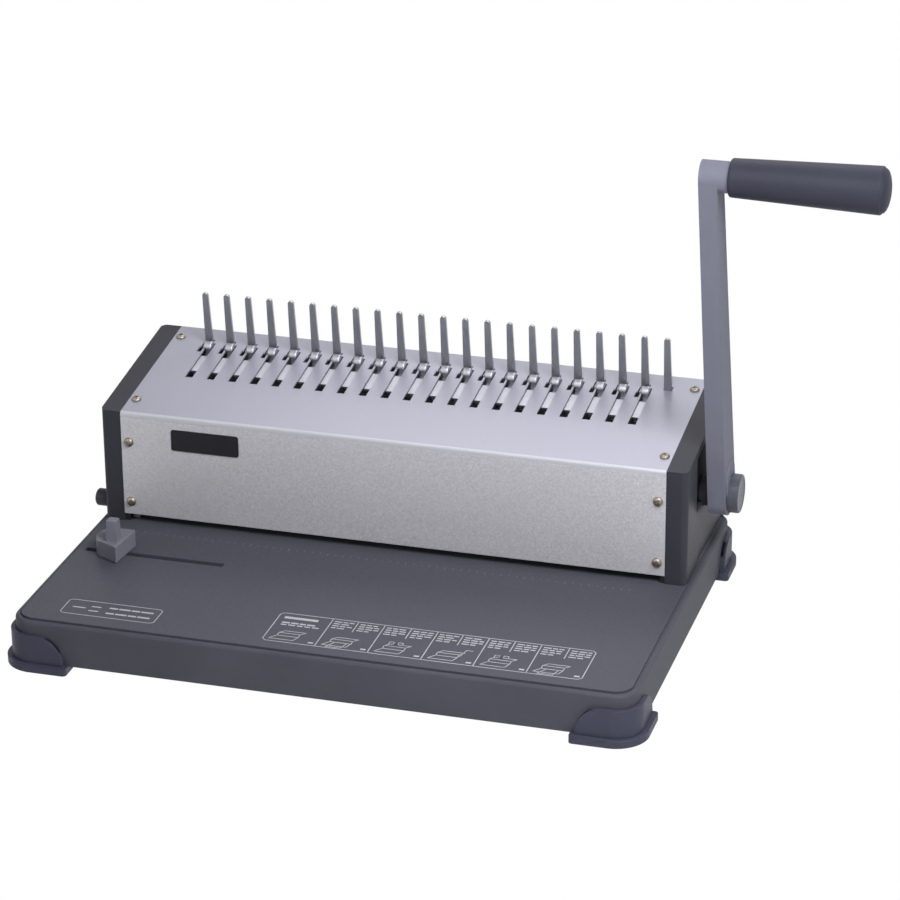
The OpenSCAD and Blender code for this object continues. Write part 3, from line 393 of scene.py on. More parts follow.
NODE_FINISH = {
    "sheet": ["bottom_plate", "rake_rod_brackets", "drawer_runners"],
    "frame": ["left_side_frame", "right_side_frame"],
    "panel": ["rear_panel"],
    "zinc": ["foot_screws", "tie_rods", "tie_screws", "cap_screws", "base_screws", "punch_posts", "rake_rods",
             "main_shaft", "margin_spindle", "edge_guide_clip"],
    "bush": ["left_shaft_bush", "right_shaft_bush"],
    "tool": ["die_plate", "punch_guide_plate", "punch_bar", "punch_pins", "shaft_collars", "punch_cams",
             "rake_cranks", "depth_stop", "rake_bar"],
    "arm": ["handle_rod"],
    "cap": ["shaft_spacer"],
    "drawer": ["chip_drawer"],
}


# ---- Modelling by hand ----

def deselect():
    bpy.ops.object.select_all(action="DESELECT")


def pick(obj):
    deselect()
    obj.select_set(True)
    bpy.context.view_layer.objects.active = obj


def enter():
    bpy.ops.object.mode_set(mode="EDIT")


def leave():
    bpy.ops.object.mode_set(mode="OBJECT")


def unselect(obj, mode="FACE"):
    """Clears the selection in a piece's mesh and sets what is selected there next."""
    pick(obj)
    enter()
    bpy.ops.mesh.select_mode(type=mode)
    bpy.ops.mesh.select_all(action="DESELECT")
    leave()


def select_edges(obj, test):
    """Selects the edges whose two ends pass the test, enters edit mode and tells how many they are."""
    unselect(obj, "EDGE")
    mesh = obj.data
    found = 0
    for e in mesh.edges:
        a, b = mesh.vertices[e.vertices[0]].co, mesh.vertices[e.vertices[1]].co
        if test(a, b):
            e.select = True
            found += 1
    enter()
    bpy.ops.mesh.select_mode(type="EDGE")
    return found


def smooth(obj, angle=35):
    pick(obj)
    bpy.ops.object.shade_smooth_by_angle(angle=math.radians(angle))
    apply_modifier(obj, "WEIGHTED_NORMAL", keep_sharp=True, weight=100)


def apply_modifier(obj, kind, **settings):
    pick(obj)
    made = obj.modifiers.new(kind.lower(), kind)
    for key, value in settings.items():
        setattr(made, key, value)
    bpy.ops.object.modifier_apply(modifier=made.name)


def copy_node(node, name):
    """A copy of a solid's mesh with its doubles merged and its flat faces made whole."""
    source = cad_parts[node]
    pick(source)
    bpy.ops.object.duplicate()
    obj = bpy.context.view_layer.objects.active
    obj.name = obj.data.name = name
    for key in [k for k in obj.keys() if k.startswith("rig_")]:
        del obj[key]
    obj.parent = None
    obj.matrix_world = Matrix.Identity(4)
    pick(obj)
    enter()
    bpy.ops.mesh.select_all(action="SELECT")
    bpy.ops.mesh.remove_doubles(threshold=0.002 * MM)
    bpy.ops.mesh.dissolve_limited(angle_limit=math.radians(0.5), use_dissolve_boundaries=False)
    bpy.ops.mesh.select_all(action="DESELECT")
    leave()
    return obj


def round_edges(obj, width, segments=3, angle=30):
    apply_modifier(obj, "BEVEL", width=width, segments=segments, limit_method="ANGLE",
                   angle_limit=math.radians(angle), use_clamp_overlap=True)


def round_picked(obj, test, width, segments=4):
    if select_edges(obj, test):
        bpy.ops.mesh.bevel(offset=width, segments=segments, profile=0.5, affect="EDGES", clamp_overlap=True)
    leave()


def start_mesh(name):
    """An empty piece at the origin, opened in edit mode, so that primitives are added into one mesh."""
    deselect()
    mesh = bpy.data.meshes.new(name)
    obj = bpy.data.objects.new(name, mesh)
    bpy.context.scene.collection.objects.link(obj)
    pick(obj)
    enter()
    return obj


def outward():
    """Merges the doubles of the piece in edit mode, turns its faces outwards and leaves edit mode."""
    bpy.ops.mesh.select_all(action="SELECT")
    bpy.ops.mesh.remove_doubles(threshold=0.001 * MM)
    bpy.ops.mesh.normals_make_consistent(inside=False)
    bpy.ops.mesh.select_all(action="DESELECT")
    leave()


def turned(name, centre, rings, facets, axis="X"):
    """A turned piece: rings of (distance along the axis, radius) in millimetres, closed at both ends."""
    obj = start_mesh(name)
    rings = [(far * MM, radius * MM) for far, radius in rings]
    along = Vector((1, 0, 0)) if axis == "X" else Vector((0, 0, 1))
    turn = (0, math.pi / 2, 0) if axis == "X" else (0, 0, 0)
    far, radius = rings[0]
    bpy.ops.mesh.primitive_circle_add(vertices=facets, radius=radius, fill_type="NGON",
                                      location=centre + along * far, rotation=turn)
    for next_far, next_radius in rings[1:]:
        bpy.ops.mesh.extrude_region_move(TRANSFORM_OT_translate={"value": along * (next_far - far)})
        k = next_radius / radius
        scale = (1, k, k) if axis == "X" else (k, k, 1)
        bpy.ops.transform.resize(value=scale, center_override=centre + along * next_far)
        far, radius = next_far, next_radius
    outward()
    return obj


def joined(name, pieces):
    deselect()
    for piece in pieces:
        piece.select_set(True)
    bpy.context.view_layer.objects.active = pieces[0]
    bpy.ops.object.join()
    made = bpy.context.view_layer.objects.active
    made.name = made.data.name = name
    return made


def copied(obj, place):
    """A copy of a piece, with its own mesh, brought to a place and left unturned there."""
    pick(obj)
    bpy.ops.object.duplicate()
    made = bpy.context.view_layer.objects.active
    made.matrix_world = place
    bpy.ops.object.transform_apply(location=True, rotation=True, scale=True)
    return made


def cut(obj, low, high, turn=0.0):
    """Cuts a block out of a piece; the block may be turned about Z."""
    deselect()
    bpy.ops.mesh.primitive_cube_add(size=1, location=(Vector(low) + Vector(high)) / 2, rotation=(0, 0, turn))
    cutter = bpy.context.view_layer.objects.active
    cutter.scale = Vector(high) - Vector(low)
    bpy.ops.object.transform_apply(location=True, rotation=True, scale=True)
    apply_modifier(obj, "BOOLEAN", operation="DIFFERENCE", object=cutter, solver="EXACT")
    bpy.data.objects.remove(cutter)


def finish(obj, material, body, replaces=()):
    obj.data.materials.clear()
    obj.data.materials.append(MATERIALS[material])
    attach(obj, body)
    if replaces:
        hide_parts(*replaces)
    return obj


class BINDER_OT_finishes(bpy.types.Operator):
    """Makes the materials and gives them to the solids that show as they are"""
    bl_idname = "binder.finishes"
    bl_label = "Finishes"

    def execute(self, context):
        make_materials()
        for key, nodes in NODE_FINISH.items():
            for node in nodes:
                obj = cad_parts[node]
                obj.data.materials.clear()
                obj.data.materials.append(MATERIALS[key])
        return {"FINISHED"}


def on_outline(p, low, high, radius):
    """Tells whether a point lies on the upright outline of a plate with round corners."""
    mid = (low + high) / 2
    x, y = abs(p.x - mid.x) - (high.x - mid.x - radius), abs(p.y - mid.y) - (high.y - mid.y - radius)
    if x > 0 and y > 0:
        return abs(math.hypot(x, y) - radius) < 0.15 * MM
    return max(x, y) > radius - TOUCH


# Radii of the base's and the deck's corners, and height of the base's rim over its bottom plate's underside
BASE_CORNER, DECK_CORNER, RIM_H = 14 * MM, 9.3 * MM, 26.3 * MM
# How far a foot's wall and its lip stand out from the base, and the lip's height
FOOT_WALL, FOOT_LIP, FOOT_LIP_H = 3.1 * MM, 6.1 * MM, 4.5 * MM


def soften_foot(foot, low, high, width):
    """Rounds a foot's lip, the two ends of the lip and the rim of its wall."""
    def on_ring(p, reach):
        grow = Vector((reach, reach, 0))
        return on_outline(p, BASE_LOW - grow, BASE_HIGH + grow, BASE_CORNER + reach)

    def at_end(p):
        middle = (BASE_LOW + BASE_HIGH) / 2
        end = (low.x if middle.x < low.x else high.x, low.y if middle.y < low.y else high.y)
        return abs(p.x - end[0]) < TOUCH or abs(p.y - end[1]) < TOUCH

    def lip_end(a, b):
        return upright(a, b) and all(on_ring(p, FOOT_LIP) and at_end(p) for p in (a, b))

    def lip_top(a, b):
        return all(abs(p.z - lip_z) < TOUCH and not on_ring(p, FOOT_WALL) for p in (a, b))

    def wall_rim(a, b):
        return not upright(a, b) and all(p.z > lip_z + TOUCH and on_ring(p, FOOT_WALL) for p in (a, b))

    def upright(a, b):
        return math.hypot(a.x - b.x, a.y - b.y) < TOUCH

    lip_z = low.z + FOOT_LIP_H
    round_picked(foot, lip_end, 2.4 * MM, 6)
    round_picked(foot, lip_top, width, 4)
    round_picked(foot, wall_rim, 0.4 * MM, 2)


class BINDER_OT_base(bpy.types.Operator):
    """Dresses the base: rounded rim, deck and feet"""
    bl_idname = "binder.base"
    bl_label = "Base and feet"

    def execute(self, context):
        s = sizes()
        base = copy_node("base_tray", "base_shell")
        rim_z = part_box("bottom_plate")[0].z + RIM_H
        round_picked(base, lambda a, b: all(abs(p.z - rim_z) < TOUCH
                                            and on_outline(p, BASE_LOW, BASE_HIGH, BASE_CORNER)
                                            for p in (a, b)), s.rim_round, 5)
        smooth(base)
        finish(base, "base", "base", ["base_tray"])
        for side in ("front_left", "front_right", "rear_left", "rear_right"):
            foot = copy_node("foot_" + side, "foot_soft_" + side)
            soften_foot(foot, *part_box("foot_" + side), s.foot_round)
            smooth(foot)
            finish(foot, "foot", "base", ["foot_" + side])
        deck = copy_node("deck_plate", "deck_soft")
        low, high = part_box("deck_plate")
        round_picked(deck, lambda a, b: min(a.z, b.z) > DECK_Z - TOUCH
                     and all(on_outline(p, low, high, DECK_CORNER) for p in (a, b)), s.deck_round, 3)
        smooth(deck)
        finish(deck, "deck", "base", ["deck_plate"])
        return {"FINISHED"}


# ---- Prints on the deck, in millimetres from the middle of the base ----

LINE = 0.55
STRIP_X, STRIP_Y, STRIP_CORNER = (-36.0, 156.0), (-118.3, -81.5), 2.0
STRIP_CELLS = (-3.7, 28.3, 60.6, 91.8, 123.4)
STRIP_HALVES, HALF_Y = (12.0, 44.5, 76.0, 107.5, 140.0), -95.0   # short lines that part the text of a cell
MARK_IN, MARK_Y, MARK_SCALE = 7.0, -110.5, 0.92     # a drawing's place in its cell, and its scale
NUMBER_IN, NUMBER_LONG, NUMBER_Y = 4.2, 1.6, -115   # the small stroke in a cell's corner
HEADING = ((-87, 2.6), (-93.5, 1.6), (-96.2, 1.2))   # rows of the first cell: y and stroke
HEADING_IN, HEADING_OUT, HEADING_WORD, HEADING_GAP = 5, 8, (2.0, 4.5), 2.4
ROWS, ROW_Y, ROW_PITCH, ROW_STROKE = 4, -84.6, 2.7, 1.1   # rows of text in the other cells
ROW_IN, LAST_ROW_IN, ROW_WORD, ROW_GAP = 2.4, 6.0, (1.6, 3.6), 1.9
LABEL_X, LABEL_Y, LABEL_CORNER = (-163.5, -104.5), (-116.0, -97.5), 1.8
LABEL_MARKS = ((-158, -151, -106.8), (-147, -142, -104.0), (-147, -142, -109.5))   # from x, to x, and y
LABEL_ROWS = (-103.4, -110.2)
LABEL_WORDS = ((-135.5, -132.0), (-129.5, -124.0), (-121.5, -118.0), (-115.5, -109.5))
RULER_X, RULER_Y, TICK_PITCH, TICK, LONG_TICK = (-160.0, 156.0), 3.4, 5.0, 1.6, 3.2


def ink_line(x0, y0, x1, y1, width=LINE):
    """One printed stroke between two points of the deck, as a thin slab in the mesh that is being edited."""
    length = math.hypot(x1 - x0, y1 - y0) + width
    thick = sizes().print_thick
    spot = at((x0 + x1) / 2, (y0 + y1) / 2, 0)
    spot.z = DECK_Z + thick / 2
    bpy.ops.mesh.primitive_cube_add(size=1, location=spot, rotation=(0, 0, math.atan2(y1 - y0, x1 - x0)),
                                    scale=(length * MM, width * MM, thick))


def ink_frame(x0, x1, y0, y1, corner):
    """A printed frame whose corners are cut off at 45 degrees, so that they read as round."""
    points = [(x0 + corner, y0), (x1 - corner, y0), (x1, y0 + corner), (x1, y1 - corner),
              (x1 - corner, y1), (x0 + corner, y1), (x0, y1 - corner), (x0, y0 + corner)]
    for (xa, ya), (xb, yb) in zip(points, points[1:] + points[:1]):
        ink_line(xa, ya, xb, yb)


def ink_chain(points, x, y, k):
    for (xa, ya), (xb, yb) in zip(points, points[1:]):
        ink_line(x + k * xa, y + k * ya, x + k * xb, y + k * yb)


def ink_words(draw, x, last, end, y, lengths, gap, width):
    """A row of strokes as long as words, of which none starts past last or runs past end."""
    while x < last:
        run = min(draw.uniform(*lengths), end - x)
        ink_line(x, y, x + run, y, width)
        x += run + gap


# Small line drawings of the steps of binding: the body, its deck, the handle, a sheet and a comb
BODY_MARK = [(0, 4), (3, 7), (17, 7), (14, 4), (0, 4), (0, 0), (14, 0), (14, 4)]
DECK_MARK = [(0, 0), (-4, -5), (12, -5), (14, 0)]
HANDLE_MARK = [(15, 2), (17, 11), (21, 11)]
SHEET_MARK = [(3, -1), (-1, -7), (9, -7), (11, -1)]
COMB_MARK = [(2, 7), (2, 10), (5, 10), (5, 7), (8, 7), (8, 10), (11, 10), (11, 7)]
STEP_MARKS = [[BODY_MARK, DECK_MARK], [BODY_MARK, DECK_MARK, SHEET_MARK], [BODY_MARK, COMB_MARK, DECK_MARK],
              [BODY_MARK, DECK_MARK, HANDLE_MARK], [BODY_MARK, COMB_MARK, DECK_MARK],
              [BODY_MARK, SHEET_MARK, DECK_MARK]]


class BINDER_OT_prints(bpy.types.Operator):
    """Prints the strip of steps, the label frame and the ruler's ticks on the deck"""
    bl_idname = "binder.prints"
    bl_label = "Deck prints"

    def execute(self, context):
        draw = random.Random(7)
        strip = start_mesh("step_strip_print")
        ink_frame(*STRIP_X, *STRIP_Y, STRIP_CORNER)
        for x in STRIP_CELLS:
            ink_line(x, STRIP_Y[0], x, STRIP_Y[1])
        for x in STRIP_HALVES:
            ink_line(x, HALF_Y, x, STRIP_Y[1])
        edges = (STRIP_X[0], *STRIP_CELLS, STRIP_X[1])
        for i, (x0, x1) in enumerate(zip(edges, edges[1:])):
            for mark in STEP_MARKS[i]:
                ink_chain(mark, x0 + MARK_IN, MARK_Y, MARK_SCALE)
            ink_line(x1 - NUMBER_IN, NUMBER_Y, x1 - NUMBER_IN + NUMBER_LONG, NUMBER_Y, NUMBER_LONG)
            if i == 0:
                for y, width in HEADING:
                    ink_words(draw, x0 + HEADING_IN, x1 - HEADING_OUT, x1, y, HEADING_WORD, HEADING_GAP,
                              width)
                continue
            half = STRIP_HALVES[i - 1]
            for left, right in ((x0, half), (half, x1)):
                for row in range(ROWS):
                    end = right - (ROW_IN if row < ROWS - 1 else LAST_ROW_IN)
                    ink_words(draw, left + ROW_IN, end - 1, end, ROW_Y - row * ROW_PITCH, ROW_WORD, ROW_GAP,
                              ROW_STROKE)
        outward()
        finish(strip, "ink", "base")

        label = start_mesh("label_print")
        ink_frame(*LABEL_X, *LABEL_Y, LABEL_CORNER)
        for x0, x1, y in LABEL_MARKS:
            ink_line(x0, y, x1, y, 2 * LINE)
        for y in LABEL_ROWS:
            for x0, x1 in LABEL_WORDS:
                ink_line(x0, y, x1, y, 1.7)
        outward()
        finish(label, "ink", "base")

        ruler = start_mesh("ruler_print")
        tick, x = 0, RULER_X[0]
        while x < RULER_X[1]:
            ink_line(x, RULER_Y - (TICK if tick % 5 else LONG_TICK), x, RULER_Y, 0.4)
            tick, x = tick + 1, x + TICK_PITCH
        outward()
        finish(ruler, "ink_faint", "base")
        return {"FINISHED"}


def slope_of(cover):
    """The direction that the cover's large sloping face looks in."""
    return max(cover.data.polygons, key=lambda f: f.area).normal.copy()


class BINDER_OT_body(bpy.types.Operator):
    """Dresses the body: end caps, top cover, comb and hooks"""
    bl_idname = "binder.body"
    bl_label = "Body"

    def execute(self, context):
        s = sizes()
        for side in ("left", "right"):
            cap = copy_node(side + "_end_cap", side + "_cap_soft")
            low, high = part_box(side + "_end_cap")
            face = low.x if side == "left" else high.x
            round_picked(cap, lambda a, b: abs(a.x - face) < TOUCH and abs(b.x - face) < TOUCH
                         and max(abs(a.z - low.z), abs(b.z - low.z)) > 1 * MM, s.cap_round, 4)
            smooth(cap)
            finish(cap, "cap", "base", [side + "_end_cap"])
        cover = copy_node("top_cover", "cover_soft")
        edge_y = COVER_LOW.y
        normal = slope_of(cover)
        top_z = max(v.co.z for v in cover.data.vertices if abs(v.co.y - edge_y) < 0.3 * MM)
        top_edge = Vector((0, edge_y, top_z))
        round_picked(cover, lambda a, b: all(abs(p.y - edge_y) < 0.3 * MM and p.z > top_z - 0.1 * MM
                                             for p in (a, b)), s.fold_round, 6)
        smooth(cover)
        finish(cover, "cover", "base", ["top_cover"])
        panel = copy_node("front_panel", "panel_soft")
        round_picked(panel, lambda a, b: all(abs(p.y - PANEL_LOW.y) < TOUCH for p in (a, b))
                     and abs(a.z - b.z) < 0.1 * MM and abs(a.x - b.x) > 9 * MM, 0.3 * MM, 3)
        smooth(panel)
        finish(panel, "panel", "base", ["front_panel"])
        comb = copy_node("comb_plate", "comb_fingers")
        round_edges(comb, 0.5 * MM, 3, 35)
        smooth(comb)
        finish(comb, "comb", "base", ["comb_plate"])
        hooks = copy_node("ring_hooks", "hooks_soft")

        def over_cover(p):
            return (p - top_edge).dot(normal) > 0.25 * MM

        round_picked(hooks, lambda a, b: over_cover(a) and over_cover(b) and abs(a.x - b.x) < TOUCH
                     and (a - b).length < 2 * MM, 1.2 * MM, 4)
        smooth(hooks)
        finish(hooks, "hook", "rake", ["ring_hooks"])
        springs = copy_node("return_springs", "springs_coiled")
        smooth(springs, 50)
        finish(springs, "zinc", "base", ["return_springs"])
        low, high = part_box("return_springs")
        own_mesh(springs)
        return {"FINISHED"}


HEAD_TALL = 2.0 * MM
CROSS_HALF_LONG, CROSS_HALF_WIDE, CROSS_FLOOR = 1.65 * MM, 0.42 * MM, 0.9 * MM


def cross_screw():
    """One pan-head screw with a cross recess; its head rests on z = 0 and its shank points down."""
    rings = [(-4.0, 1.1), (-3.6, 1.5), (-0.02, 1.5), (0.0, 2.96), (0.5, 3.0), (1.1, 2.85), (1.55, 2.4),
             (1.85, 1.7), (1.95, 0.8), (1.97, 0.2)]
    screw = turned("cross_screw", Vector((0, 0, 0)), rings, 32, "Z")
    for turn in (0.0, math.pi / 2):
        cut(screw, (-CROSS_HALF_LONG, -CROSS_HALF_WIDE, CROSS_FLOOR),
            (CROSS_HALF_LONG, CROSS_HALF_WIDE, HEAD_TALL + 1 * MM), turn)
    smooth(screw, 40)
    return screw


PLATE_X, PLATE_TALL, PLATE_THICK = (-140, -96), 14 * MM, 0.6 * MM
PLATE_UP = 58.5 * MM   # from the deck to the plate's middle
# A panel's screw stands out past the cover by more than the first and ends under it within the second
SCREW_OUT, SCREW_NEAR = 0.5 * MM, 12 * MM


class BINDER_OT_trim(bpy.types.Operator):
    """Adds the cross-head screws and the blank plate"""
    bl_idname = "binder.trim"
    bl_label = "Screws and blank plate"

    def execute(self, context):
        cover = bpy.data.objects["cover_soft"]
        normal = slope_of(cover)
        solid = copy_node("cover_screws", "screw_places")
        pick(solid)
        enter()
        bpy.ops.mesh.separate(type="LOOSE")
        leave()
        places = list(bpy.context.selected_objects)
        model = cross_screw()
        made = []
        for i, place in enumerate(places):
            points = [v.co for v in place.data.vertices]
            low_y, high_y = min(p.y for p in points), max(p.y for p in points)
            if low_y < COVER_LOW.y - SCREW_OUT and high_y < COVER_LOW.y + SCREW_NEAR:
                out = Vector((0, -1, 0))
            elif high_y > COVER_HIGH.y + SCREW_OUT and low_y > COVER_HIGH.y - SCREW_NEAR:
                out = Vector((0, 1, 0))
            else:
                out = normal
            top = max(p.dot(out) for p in points)
            head = [p for p in points if p.dot(out) > top - 0.02 * MM]
            middle = sum(head, Vector()) / len(head)
            stopped = Matrix.Rotation(0.5 + 1.3 * i, 4, "Z")   # each screw came to rest at its own angle
            turn = out.to_track_quat("Z", "Y").to_matrix().to_4x4() @ stopped
            made.append(copied(model, Matrix.Translation(middle - out * HEAD_TALL) @ turn))
        for place in places:
            bpy.data.objects.remove(place)
        bpy.data.objects.remove(model)
        screws = joined("cover_screws_cross", made)
        finish(screws, "bronze", "base", ["cover_screws"])

        plate = start_mesh("blank_plate")
        x0, x1 = (at(x, 0, 0).x for x in PLATE_X)
        y = PANEL_LOW.y
        bpy.ops.mesh.primitive_cube_add(
            size=1, location=((x0 + x1) / 2, y - PLATE_THICK / 2, DECK_Z + PLATE_UP),
            scale=(x1 - x0, PLATE_THICK, PLATE_TALL))
        leave()
        round_picked(plate, lambda a, b: abs(a.y - b.y) > 0.3 * MM, 1.6 * MM, 5)
        round_picked(plate, lambda a, b: all(p.y < y - PLATE_THICK + TOUCH for p in (a, b)), 0.25 * MM, 2)
        unselect(plate)
        for face in plate.data.polygons:
            face.select = face.normal.y < -0.99 and face.area > 100 * MM * MM
        enter()
        bpy.ops.mesh.inset(thickness=0.9 * MM, depth=-0.2 * MM)
        outward()
        smooth(plate, 30)
        finish(plate, "plate", "base")
        return {"FINISHED"}


class BINDER_OT_controls(bpy.types.Operator):
    """Dresses the margin knob and the edge guide"""
    bl_idname = "binder.controls"
    bl_label = "Knob and edge guide"

    def execute(self, context):
        knob = copy_node("margin_knob", "margin_knob_soft")
        round_edges(knob, 0.3 * MM, 2, 35)
        smooth(knob)
        finish(knob, "knob", "knob", ["margin_knob"])
        guide = copy_node("edge_guide", "edge_guide_soft")
        round_edges(guide, 0.5 * MM, 3, 45)
        smooth(guide)
        finish(guide, "guide", "guide", ["edge_guide"])
        return {"FINISHED"}


BORE_REACH = 8 * MM   # edges nearer than this to the arm's two bores stay sharp
# Radius and thickness of the pad on the arm's outer face, and the length of its straight stretch
PAD_R, PAD_THICK, PAD_LONG = 10.6 * MM, 1.6 * MM, 12.5 * MM
# In millimetres: the diameter of the grip's inner end, where its rounded end starts, and how far that bulges
GRIP_START, NOSE_BACK, NOSE_LONG = 22.6, 5.6, 4.25


class BINDER_OT_handle(bpy.types.Operator):
    """Dresses the handle: arm, grip and the cap over its hub"""
    bl_idname = "binder.handle"
    bl_label = "Handle"

    def execute(self, context):
        s = sizes()
        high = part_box("handle_arm")[1]
        pivot = sum(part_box("main_shaft"), Vector()) / 2
        grip_low, grip_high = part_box("handle_grip")
        top = (grip_low + grip_high) / 2
        up = Vector((0, top.y - pivot.y, top.z - pivot.z)).normalized()

        def near(p, centre, reach):
            return math.hypot(p.y - centre.y, p.z - centre.z) < reach

        def long_edge(a, b):
            """Edges round the flat faces, but neither the bores nor the outer end that carries the stub."""
            if abs(a.x - b.x) > 0.1 * MM:
                return False
            for p in (a, b):
                if near(p, pivot, BORE_REACH) or near(p, top, BORE_REACH):
                    return False
                if p.x > high.x - 0.1 * MM and (p - top).dot(up) > 0.3 * MM:
                    return False
            return True

        arm = copy_node("handle_arm", "arm_soft")
        round_picked(arm, long_edge, s.arm_round, 6)
        smooth(arm, 40)
        finish(arm, "arm", "handle", ["handle_arm"])

        pad = start_mesh("hub_pad")
        bpy.ops.mesh.primitive_cylinder_add(vertices=64, radius=PAD_R, depth=PAD_THICK,
                                            rotation=(0, math.pi / 2, 0),
                                            location=(high.x + 0.2 * MM, pivot.y, pivot.z))
        leave()
        unselect(pad, "VERT")
        for v in pad.data.vertices:
            v.select = (v.co - pivot).dot(up) > 0.01 * MM
        enter()
        bpy.ops.mesh.select_mode(type="VERT")
        bpy.ops.transform.translate(value=up * PAD_LONG)
        outward()
        round_picked(pad, lambda a, b: all(p.x > high.x + 0.9 * MM for p in (a, b)), 0.6 * MM, 3)
        smooth(pad)
        finish(pad, "arm", "handle")

        hub_low, hub_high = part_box("hub_cap")
        depth, radius = (hub_high.x - hub_low.x) / MM, (hub_high.z - hub_low.z) / 2 / MM
        hub = turned("hub_cap_soft", Vector((hub_low.x, pivot.y, pivot.z)), [
            (0, radius - 0.6), (0.5, radius - 0.1), (0.9, radius), (depth - 1.1, radius),
            (depth - 0.5, radius - 0.15), (depth - 0.15, radius - 0.5), (depth - 0.02, radius - 1.0),
            (depth - 0.05, radius - 1.8), (depth - 0.3, radius - 2.4), (depth - 0.3, 1.0)], 96)
        smooth(hub, 30)
        finish(hub, "hub", "handle", ["hub_cap"])

        length = (grip_high.x - grip_low.x) / MM
        end, start = (grip_high.z - grip_low.z) / 2 / MM, GRIP_START / 2
        rim = length - NOSE_BACK
        rings = [(0.0, 7.0), (0.02, start - 1.3), (0.35, start - 0.5), (1.0, start - 0.06),
                 (2.0, start + 0.03)]
        for k in (0.1, 0.3, 0.5, 0.7, 0.9, 1.0):
            x = 2.0 + (rim - 2.0) * k
            rings.append((x, start + 0.03 + (end - start - 0.03) * k))
        rings += [(rim + 0.9, end - 0.35), (rim + 1.3, end - 1.0)]
        for k in range(1, 7):
            a = math.radians(15 * k)
            rings.append((rim + 1.3 + NOSE_LONG * math.sin(a), (end - 1.0) * math.cos(a) if k < 6 else 0.6))
        grip = turned("grip_soft", Vector((grip_low.x, top.y, top.z)), rings, 96)
        smooth(grip, 30)
        finish(grip, "grip", "handle", ["handle_grip"])
        return {"FINISHED"}


# ---- Studio ----

CAMERA_AT = (0.53245, -1.82073, 0.93744)
CAMERA_YAW, CAMERA_PITCH, CAMERA_ROLL = math.radians(16.51), math.radians(23.51), math.radians(-0.47)
FLOOR_SIZE, FLOOR_DROP = 12, 0.2 * MM   # metres; the drop keeps the floor clear of the feet
WORLD_LEVEL = 0.02                      # light of the surroundings, where they are not seen
# Each lamp: its place, the point it faces, its width and height in metres, and its power in watts
LAMPS = [
    ("key_lamp", (0.62, -0.45, 0.85), (0.15, -0.1, 0.0), 0.5, 0.5, 9.5),
    ("back_lamp", (0.00, 0.90, 1.20), (0, 0, 0.05), 1.2, 0.6, 7.5),
    ("front_lamp", (0.30, -1.60, 0.60), (0, 0, 0.05), 1.0, 0.5, 1.6),
    ("left_lamp", (-1.20, -1.20, 0.90), (0, 0, 0.05), 1.0, 1.0, 5.0),
    ("deck_lamp", (0.13, -0.33, 0.55), (0.1, -0.1, 0.03), 0.25, 0.25, 1.5),
    ("strip_lamp", (0.75, -1.90, 0.97), (0, 0, 0.15), 1.4, 0.05, 0.9),
]


def soft_lamp(name, place, aim, width, height, power):
    lamp = bpy.data.lights.new(name, "AREA")
    lamp.shape, lamp.size, lamp.size_y, lamp.energy = "RECTANGLE", width, height, power
    obj = bpy.data.objects.new(name, lamp)
    bpy.context.scene.collection.objects.link(obj)
    obj.visible_camera = False
    obj.location = place
    obj.rotation_euler = (Vector(aim) - Vector(place)).to_track_quat("-Z", "Y").to_euler()


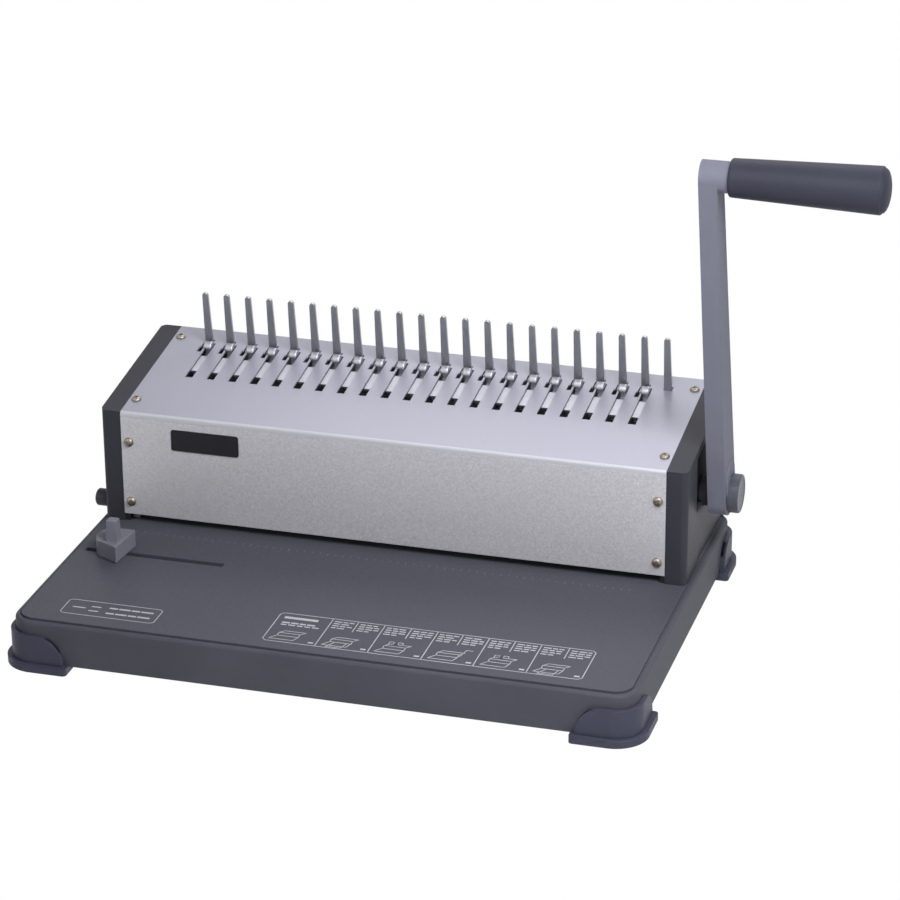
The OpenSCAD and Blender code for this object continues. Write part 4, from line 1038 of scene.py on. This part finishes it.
class BINDER_OT_studio(bpy.types.Operator):
    """Sets up the pale floor, the soft lamps, the white surroundings and the camera"""
    bl_idname = "binder.studio"
    bl_label = "Studio"

    def execute(self, context):
        scene = context.scene
        scene.view_settings.view_transform = "Standard"
        deselect()
        bpy.ops.mesh.primitive_plane_add(size=FLOOR_SIZE, location=(0, 0, -FLOOR_DROP))
        floor = context.view_layer.objects.active
        floor.name = "studio_floor"
        g = Graph("studio_floor", tuple(colours().floor), 0.9)
        glow = g.node("ShaderNodeEmission", {}, {"Strength": 1.0})
        blend = g.node("ShaderNodeMixShader", {}, {0: g.seen(), 1: Wire(g, g.shader.outputs[0]), 2: glow})
        g.tree.links.new(blend.socket, g.tree.nodes["Material Output"].inputs["Surface"])
        floor.data.materials.append(g.material)

        world = bpy.data.worlds.new("studio_white")
        scene.world = world
        world.use_nodes = True
        back = world.node_tree.nodes["Background"]
        back.inputs["Color"].default_value = (1, 1, 1, 1)
        level = Nodes(world.node_tree).seen().ramp(0.0, 1.0, WORLD_LEVEL, 1.0)
        world.node_tree.links.new(level.socket, back.inputs["Strength"])

        for lamp in LAMPS:
            soft_lamp(*lamp)

        camera = bpy.data.objects.new("studio_camera", bpy.data.cameras.new("studio_camera"))
        scene.collection.objects.link(camera)
        camera.data.sensor_fit = "HORIZONTAL"
        camera.data.sensor_width = 36
        camera.data.lens = sizes().camera_lens
        camera.data.clip_start, camera.data.clip_end = 0.05, 50
        turn = (Matrix.Rotation(CAMERA_YAW, 4, "Z") @ Matrix.Rotation(math.pi / 2 - CAMERA_PITCH, 4, "X")
                @ Matrix.Rotation(CAMERA_ROLL, 4, "Z"))
        camera.matrix_world = Matrix.Translation(CAMERA_AT) @ turn
        scene.camera = camera
        return {"FINISHED"}


class BINDER_PT_panel(bpy.types.Panel):
    """Lists the sizes, colours and steps of the binding machine"""
    bl_idname = "BINDER_PT_panel"
    bl_label = "Comb Binding Machine"
    bl_space_type = "VIEW_3D"
    bl_region_type = "UI"
    bl_category = "Binder"

    def draw(self, context):
        layout = self.layout
        for group in (context.scene.binder_sizes, context.scene.binder_colours):
            box = layout.box()
            for key in group.__annotations__:
                box.prop(group, key)
        for step in STEPS:
            layout.operator(step.bl_idname)


STEPS = [BINDER_OT_finishes, BINDER_OT_base, BINDER_OT_prints, BINDER_OT_body, BINDER_OT_trim,
         BINDER_OT_controls, BINDER_OT_handle, BINDER_OT_studio]
CLASSES = [BinderSizes, BinderColours, *STEPS, BINDER_PT_panel]


def register():
    for cls in CLASSES:
        bpy.utils.register_class(cls)
    bpy.types.Scene.binder_sizes = bpy.props.PointerProperty(type=BinderSizes)
    bpy.types.Scene.binder_colours = bpy.props.PointerProperty(type=BinderColours)


def unregister():
    del bpy.types.Scene.binder_colours
    del bpy.types.Scene.binder_sizes
    for cls in reversed(CLASSES):
        bpy.utils.unregister_class(cls)


def main():
    register()
    bpy.ops.binder.finishes()
    bpy.ops.binder.base()
    bpy.ops.binder.prints()
    bpy.ops.binder.body()
    bpy.ops.binder.trim()
    bpy.ops.binder.controls()
    bpy.ops.binder.handle()
    bpy.ops.binder.studio()


if __name__ == "__main__":
    main()
